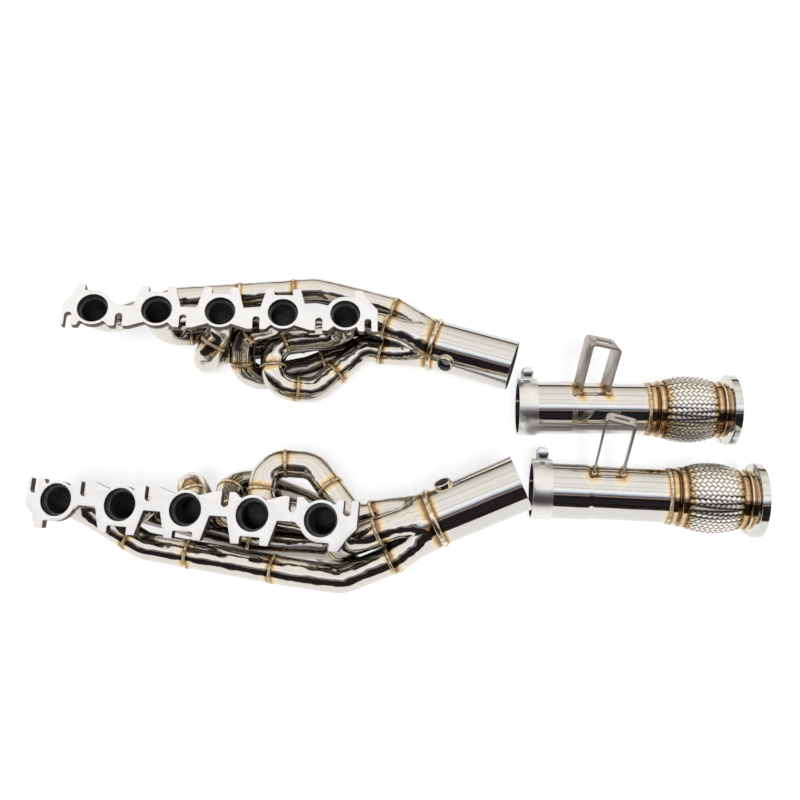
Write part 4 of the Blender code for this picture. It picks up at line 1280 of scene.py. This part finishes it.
WIRE_COLOUR = (0.92, 0.88, 0.82)
wire_metal, tree, shader = new_metal("braid_wire", WIRE_COLOUR, 0.16)
distance = add_node(tree, "ShaderNodeAttribute", attribute_name="weld_distance")
bloom = add_node(tree, "ShaderNodeGroup", node_tree=HEAT_BLOOM)
tree.links.new(distance.outputs["Fac"], bloom.inputs["Distance"])
bloom.inputs["Reach"].default_value = 0.014
bloom.inputs["Metal"].default_value = (*WIRE_COLOUR, 1)
# Painted shade: the wire's colour darkens nearly to black where a bundle dips under its neighbours, and stays
# full where it rides on top.
lift = add_node(tree, "ShaderNodeAttribute", attribute_name="lift")
raised = add_node(
    tree,
    "ShaderNodeMapRange",
    {"Value": lift.outputs["Fac"], "From Min": -0.4, "From Max": 1.0, "To Min": 0.015},
)
sunk_shaded = add_node(tree, "ShaderNodeMix", {0: 1.0}, data_type="RGBA", blend_type="MULTIPLY")
tree.links.new(bloom.outputs["Colour"], sunk_shaded.inputs[6])
tree.links.new(raised.outputs[0], sunk_shaded.inputs[7])
tree.links.new(sunk_shaded.outputs[2], shader.inputs["Base Color"])
across = add_node(tree, "ShaderNodeAttribute", attribute_name="across")
wires = add_node(
    tree, "ShaderNodeMath", {0: across.outputs["Fac"], 1: math.pi * BUNDLE_WIRES}, operation="MULTIPLY"
)
wires = add_node(tree, "ShaderNodeMath", {0: wires.outputs[0]}, operation="SINE")
relief = add_node(
    tree, "ShaderNodeBump", {"Strength": 0.15, "Distance": 0.0002, "Height": wires.outputs[0]}
)
tree.links.new(relief.outputs["Normal"], shader.inputs["Normal"])


def plait_tree():
    """Copies flat bundles round the sleeve's axis, and stores each point's place across its bundle."""
    tree, given, result = new_geometry(
        "plaited_sleeve",
        [
            ("Copies", "NodeSocketInt"),
            ("Bundle Size", "NodeSocketVector"),
            ("Material", "NodeSocketMaterial"),
        ],
    )
    path = add_node(tree, "GeometryNodeMeshToCurve", {"Mesh": given.outputs["Geometry"]})
    place = add_node(tree, "GeometryNodeInputPosition")
    outward = add_node(
        tree, "ShaderNodeVectorMath", {0: place.outputs[0], 1: (1, 1, 0)}, operation="MULTIPLY"
    )
    faced = add_node(
        tree,
        "GeometryNodeSetCurveNormal",
        {"Curve": path.outputs[0], "Normal": outward.outputs[0]},
        mode="FREE",
    )
    circle = add_node(tree, "GeometryNodeCurvePrimitiveCircle", {"Resolution": 10, "Radius": 1.0})
    sides = add_node(tree, "ShaderNodeSeparateXYZ", {0: place.outputs[0]})
    named = add_node(
        tree,
        "GeometryNodeStoreNamedAttribute",
        {"Geometry": circle.outputs[0], "Name": "across", "Value": sides.outputs["Y"]},
        data_type="FLOAT",
        domain="POINT",
    )
    section = add_node(
        tree,
        "GeometryNodeTransform",
        {"Geometry": named.outputs[0], "Scale": given.outputs["Bundle Size"]},
    )
    bundles = add_node(
        tree,
        "GeometryNodeCurveToMesh",
        {"Curve": faced.outputs[0], "Profile Curve": section.outputs[0], "Fill Caps": True},
    )
    spots = add_node(
        tree,
        "GeometryNodeMeshLine",
        {"Count": given.outputs["Copies"], "Offset": (0, 0, 0)},
    )
    number = add_node(tree, "GeometryNodeInputIndex")
    whole = add_node(
        tree, "ShaderNodeMath", {0: 2 * math.pi, 1: given.outputs["Copies"]}, operation="DIVIDE"
    )
    angle = add_node(
        tree, "ShaderNodeMath", {0: number.outputs[0], 1: whole.outputs[0]}, operation="MULTIPLY"
    )
    turn = add_node(
        tree, "FunctionNodeAxisAngleToRotation", {"Axis": (0, 0, 1), "Angle": angle.outputs[0]}
    )
    copies = add_node(
        tree,
        "GeometryNodeInstanceOnPoints",
        {"Points": spots.outputs[0], "Instance": bundles.outputs[0], "Rotation": turn.outputs[0]},
    )
    close_tree(tree, copies.outputs[0], given.outputs["Material"], result)
    return tree


def bundle_lines():
    """Two neighbouring bundles of each direction, each over two and under two: (lines, lifts)."""
    twist = math.tan(math.radians(PLAIT_ANGLE)) * FLEX_LENGTH / BRAID_RADIUS
    lines = []
    lifts = []
    for sense, lane in itertools.product((1, -1), (0, 1)):
        line = []
        for station in range(BUNDLE_STATIONS + 1):
            part_way = station / BUNDLE_STATIONS
            angle = 2 * math.pi * lane / BUNDLES + sense * twist * part_way
            wave = math.cos(BUNDLES / 2 * angle - math.pi / 4)
            lift = sense * math.tanh(WEAVE_STEEPNESS * wave) / math.tanh(WEAVE_STEEPNESS)
            radius = braid_radius(part_way) - BUNDLE_SIZE[0] - WEAVE_LIFT * (1 - lift)
            height = BRAID_START + FLEX_LENGTH * part_way
            line.append(Vector((radius * math.cos(angle), radius * math.sin(angle), height)))
            lifts.append(lift)
        lines.append(line)
    return lines, lifts


PLAIT_TREE = plait_tree()
for bank in HANDS:
    matrix = link_matrix(bank)
    lines, lifts = bundle_lines()
    source = line_mesh("bundles", lines, closed=False)
    source.attributes.new("lift", "FLOAT", "POINT").data.foreach_set("value", lifts)
    values = {"Copies": BUNDLES // 2, "Bundle Size": (*BUNDLE_SIZE, 1), "Material": wire_metal}
    mesh = settled_mesh(grown_mesh(source, PLAIT_TREE, values))
    mark_rings(mesh, (BRAID_START - 0.003, BRAID_END + 0.003))
    sleeve = new_piece(f"woven_sleeve_{bank}", mesh, [wire_metal], matrix, 75)
    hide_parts(f"flex_braid_{bank}")
    end = matrix @ Vector((0, 0, BRAID_END))
    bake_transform(sleeve)

# V-band flanges: turned stainless rings, welded to the flex joint's outlet collar. The cone
# behind the rim takes a V-band clamp, and the small step on the face centres the next pipe.
VBAND_LENGTH = 0.024
VBAND_RADIUS = 0.0525
VBAND_HUB = (0.0056, 0.005, 0.0015)
VBAND_NECK = 0.0015
VBAND_CONE = 0.005
VBAND_SPIGOT = (0.0015, 0.044)
LINK_END = COLLAR_END + VBAND_LENGTH

RING_REACH = 0.0024
ring_steel = polished_steel(
    "turned_steel", RING_REACH, STEEL_COLOUR, roughness=0.08, wave=0.06, ripples=40, crowd_shade=0
)

for bank in HANDS:
    step, length, chamfer = VBAND_HUB
    hub = OUTLET_RADIUS + step
    neck = COLLAR_END + length
    lip, seat = VBAND_SPIGOT
    bore = OUTLET_RADIUS - OUTLET_WALL
    profile = [
        (COLLAR_END, COLLAR_RADIUS),
        (COLLAR_END + chamfer, hub),
        (neck - chamfer, hub),
        (neck, COLLAR_RADIUS),
        (neck + VBAND_NECK, COLLAR_RADIUS),
        (neck + VBAND_NECK + VBAND_CONE, VBAND_RADIUS),
        (LINK_END - lip, VBAND_RADIUS),
        (LINK_END - lip, seat),
        (LINK_END, seat),
        (LINK_END, bore),
        (COLLAR_END, bore),
    ]
    mesh = turned_mesh("vband", refined(eased_profile(profile, 0.0008)), 128)
    mark_rings(mesh, (COLLAR_END, neck + VBAND_NECK / 2))
    flange = new_piece(f"vband_ring_{bank}", mesh, [ring_steel], link_matrix(bank), 40)
    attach(flange, f"flex_outlet_{bank}")
    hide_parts(f"vband_flange_{bank}")

# Studio: a white floor under one soft lamp on the camera's side, in a pale room.
# Only the room's front wall is dark, with brown streaks. It draws the black band along the front
# of every polished tube.
FLOOR_SIZE = 12
FLOOR_WHITE = 0.95
FLOOR_SHADE = 0.24
CAMERA_PLACE = (-0.0075, -0.6119, 1.222)
CAMERA_TILT = 30
CAMERA_LENS = 895 / 800 * 36
LAMP_STRENGTH = 3.1
LAMP_SOFTNESS = 14
ROOM_LIGHT = 0.18

mesh = bpy.data.meshes.new("floor")
half = FLOOR_SIZE / 2
mesh.from_pydata([(-half, -half, 0), (half, -half, 0), (half, half, 0), (-half, half, 0)], [], [(0, 1, 2, 3)])
floor_paint = bpy.data.materials.new("white_floor")
floor_paint.use_nodes = True
tree = floor_paint.node_tree
tree.nodes.remove(tree.nodes["Principled BSDF"])
ray = add_node(tree, "ShaderNodeLightPath")
shade = add_node(
    tree,
    "ShaderNodeMapRange",
    {"Value": ray.outputs["Is Camera Ray"], "To Min": FLOOR_WHITE, "To Max": FLOOR_SHADE},
)
seen = add_node(
    tree,
    "ShaderNodeMath",
    {0: ray.outputs["Is Glossy Ray"], 1: ray.outputs["Is Transmission Ray"]},
    operation="MAXIMUM",
)
seen = add_node(
    tree, "ShaderNodeMath", {0: seen.outputs[0], 1: ray.outputs["Is Camera Ray"]}, operation="MAXIMUM"
)
white = add_node(tree, "ShaderNodeMath", {0: 1.03, 1: shade.outputs[0]}, operation="SUBTRACT")
strength = add_node(tree, "ShaderNodeMath", {0: seen.outputs[0], 1: white.outputs[0]}, operation="MULTIPLY")
paint = add_node(tree, "ShaderNodeBsdfDiffuse", {"Color": shade.outputs[0]})
glow = add_node(tree, "ShaderNodeEmission", {"Strength": strength.outputs[0]})
both = add_node(tree, "ShaderNodeAddShader", {0: paint.outputs[0], 1: glow.outputs[0]})
tree.links.new(both.outputs[0], tree.nodes["Material Output"].inputs["Surface"])
mesh.materials.append(floor_paint)
floor = bpy.data.objects.new("floor", mesh)
bpy.context.scene.collection.objects.link(floor)

lamp = bpy.data.objects.new("lamp", bpy.data.lights.new("lamp", "SUN"))
lamp.data.energy = LAMP_STRENGTH
lamp.data.angle = math.radians(LAMP_SOFTNESS)
lamp.rotation_euler = (math.radians(CAMERA_TILT), 0, 0)
lamp.visible_glossy = False
bpy.context.scene.collection.objects.link(lamp)

world = bpy.data.worlds.new("pale_room")
world.use_nodes = True
bpy.context.scene.world = world
tree = world.node_tree
way = add_node(tree, "ShaderNodeTexCoord").outputs["Generated"]
parts = add_node(tree, "ShaderNodeSeparateXYZ", {0: way})
around = add_node(
    tree, "ShaderNodeMath", {0: parts.outputs["Z"], 1: parts.outputs["Y"]}, operation="ARCTAN2"
)
height = add_node(tree, "ShaderNodeMath", {0: around.outputs[0], 1: math.pi}, operation="DIVIDE")
spread = add_node(
    tree,
    "ShaderNodeCombineXYZ",
    {"X": height.outputs[0], "Y": parts.outputs["X"]},
)
spread = add_node(
    tree, "ShaderNodeVectorMath", {0: spread.outputs[0], 1: (70, 5, 0)}, operation="MULTIPLY"
)
streak = add_node(tree, "ShaderNodeTexNoise", {"Vector": spread.outputs[0], "Scale": 1, "Detail": 3})
streak = add_node(
    tree, "ShaderNodeMapRange", {"Value": streak.outputs["Fac"], "From Min": 0.45, "From Max": 0.7}
)
room = []
for bare, name in ((True, "walls"), (False, "streaks")):
    ramp = add_node(tree, "ShaderNodeValToRGB", {"Fac": height.outputs[0]}, label=name)
    ramp.color_ramp.elements.remove(ramp.color_ramp.elements[0])
    for degrees, wall, mark in (
        (0, (0.05, 0.04, 0.03), (0.20, 0.14, 0.09)),
        (9, (0.05, 0.04, 0.03), (0.30, 0.22, 0.15)),
        (16, (0.82, 0.77, 0.70), (0.42, 0.34, 0.26)),
        (40, (1.08, 1.05, 1.00), (0.94, 0.89, 0.82)),
        (53, (1.14, 1.11, 1.07), (1.04, 1.00, 0.94)),
        (57, (0.74, 0.69, 0.63), (0.98, 0.93, 0.87)),
        (62, (1.18, 1.16, 1.12), (1.04, 1.00, 0.95)),
        (80, (1.22, 1.20, 1.18), (1.06, 1.03, 0.99)),
        (84, (1.04, 1.02, 0.99), (0.70, 0.66, 0.61)),
        (88, (1.22, 1.20, 1.19), (1.05, 1.03, 1.00)),
        (98, (1.20, 1.19, 1.18), (1.06, 1.05, 1.03)),
        (100, (0.55, 0.55, 0.57), (0.55, 0.55, 0.57)),
        (102, (1.28, 1.28, 1.28), (1.16, 1.16, 1.16)),
        (112, (1.32, 1.34, 1.38), (1.20, 1.23, 1.27)),
        (120, (0.42, 0.50, 0.64), (0.50, 0.54, 0.62)),
        (125, (0.03, 0.04, 0.07), (0.08, 0.08, 0.09)),
        (129, (0.55, 0.42, 0.32), (0.42, 0.30, 0.21)),
        (132, (0.012, 0.012, 0.018), (0.04, 0.035, 0.035)),
        (172, (0.010, 0.010, 0.014), (0.06, 0.045, 0.035)),
        (180, (0.04, 0.03, 0.03), (0.16, 0.11, 0.07)),
    ):
        colour = wall if bare else mark
        if degrees == 0:
            ramp.color_ramp.elements[0].position = 0
            ramp.color_ramp.elements[0].color = (*colour, 1)
        else:
            ramp.color_ramp.elements.new(degrees / 180).color = (*colour, 1)
    room.append(ramp.outputs["Color"])
walls = add_node(tree, "ShaderNodeMix", {0: streak.outputs[0]}, data_type="RGBA")
tree.links.new(room[0], walls.inputs[6])
tree.links.new(room[1], walls.inputs[7])
ray = add_node(tree, "ShaderNodeLightPath")
seen = add_node(tree, "ShaderNodeMix", {0: ray.outputs["Is Diffuse Ray"]}, data_type="RGBA")
tree.links.new(walls.outputs[2], seen.inputs[6])
seen.inputs[7].default_value = (ROOM_LIGHT, ROOM_LIGHT, ROOM_LIGHT, 1)
shown = add_node(tree, "ShaderNodeMix", {0: ray.outputs["Is Camera Ray"]}, data_type="RGBA")
tree.links.new(seen.outputs[2], shown.inputs[6])
shown.inputs[7].default_value = (1, 1, 1, 1)
tree.links.new(shown.outputs[2], tree.nodes["Background"].inputs["Color"])
tree.nodes["Background"].inputs["Strength"].default_value = 1

camera = bpy.data.objects.new("camera", bpy.data.cameras.new("camera"))
camera.data.sensor_width = 36
camera.data.lens = CAMERA_LENS
camera.location = CAMERA_PLACE
camera.rotation_euler = (math.radians(CAMERA_TILT), 0, 0)
bpy.context.scene.collection.objects.link(camera)
bpy.context.scene.camera = camera
bpy.context.scene.view_settings.view_transform = "Standard"
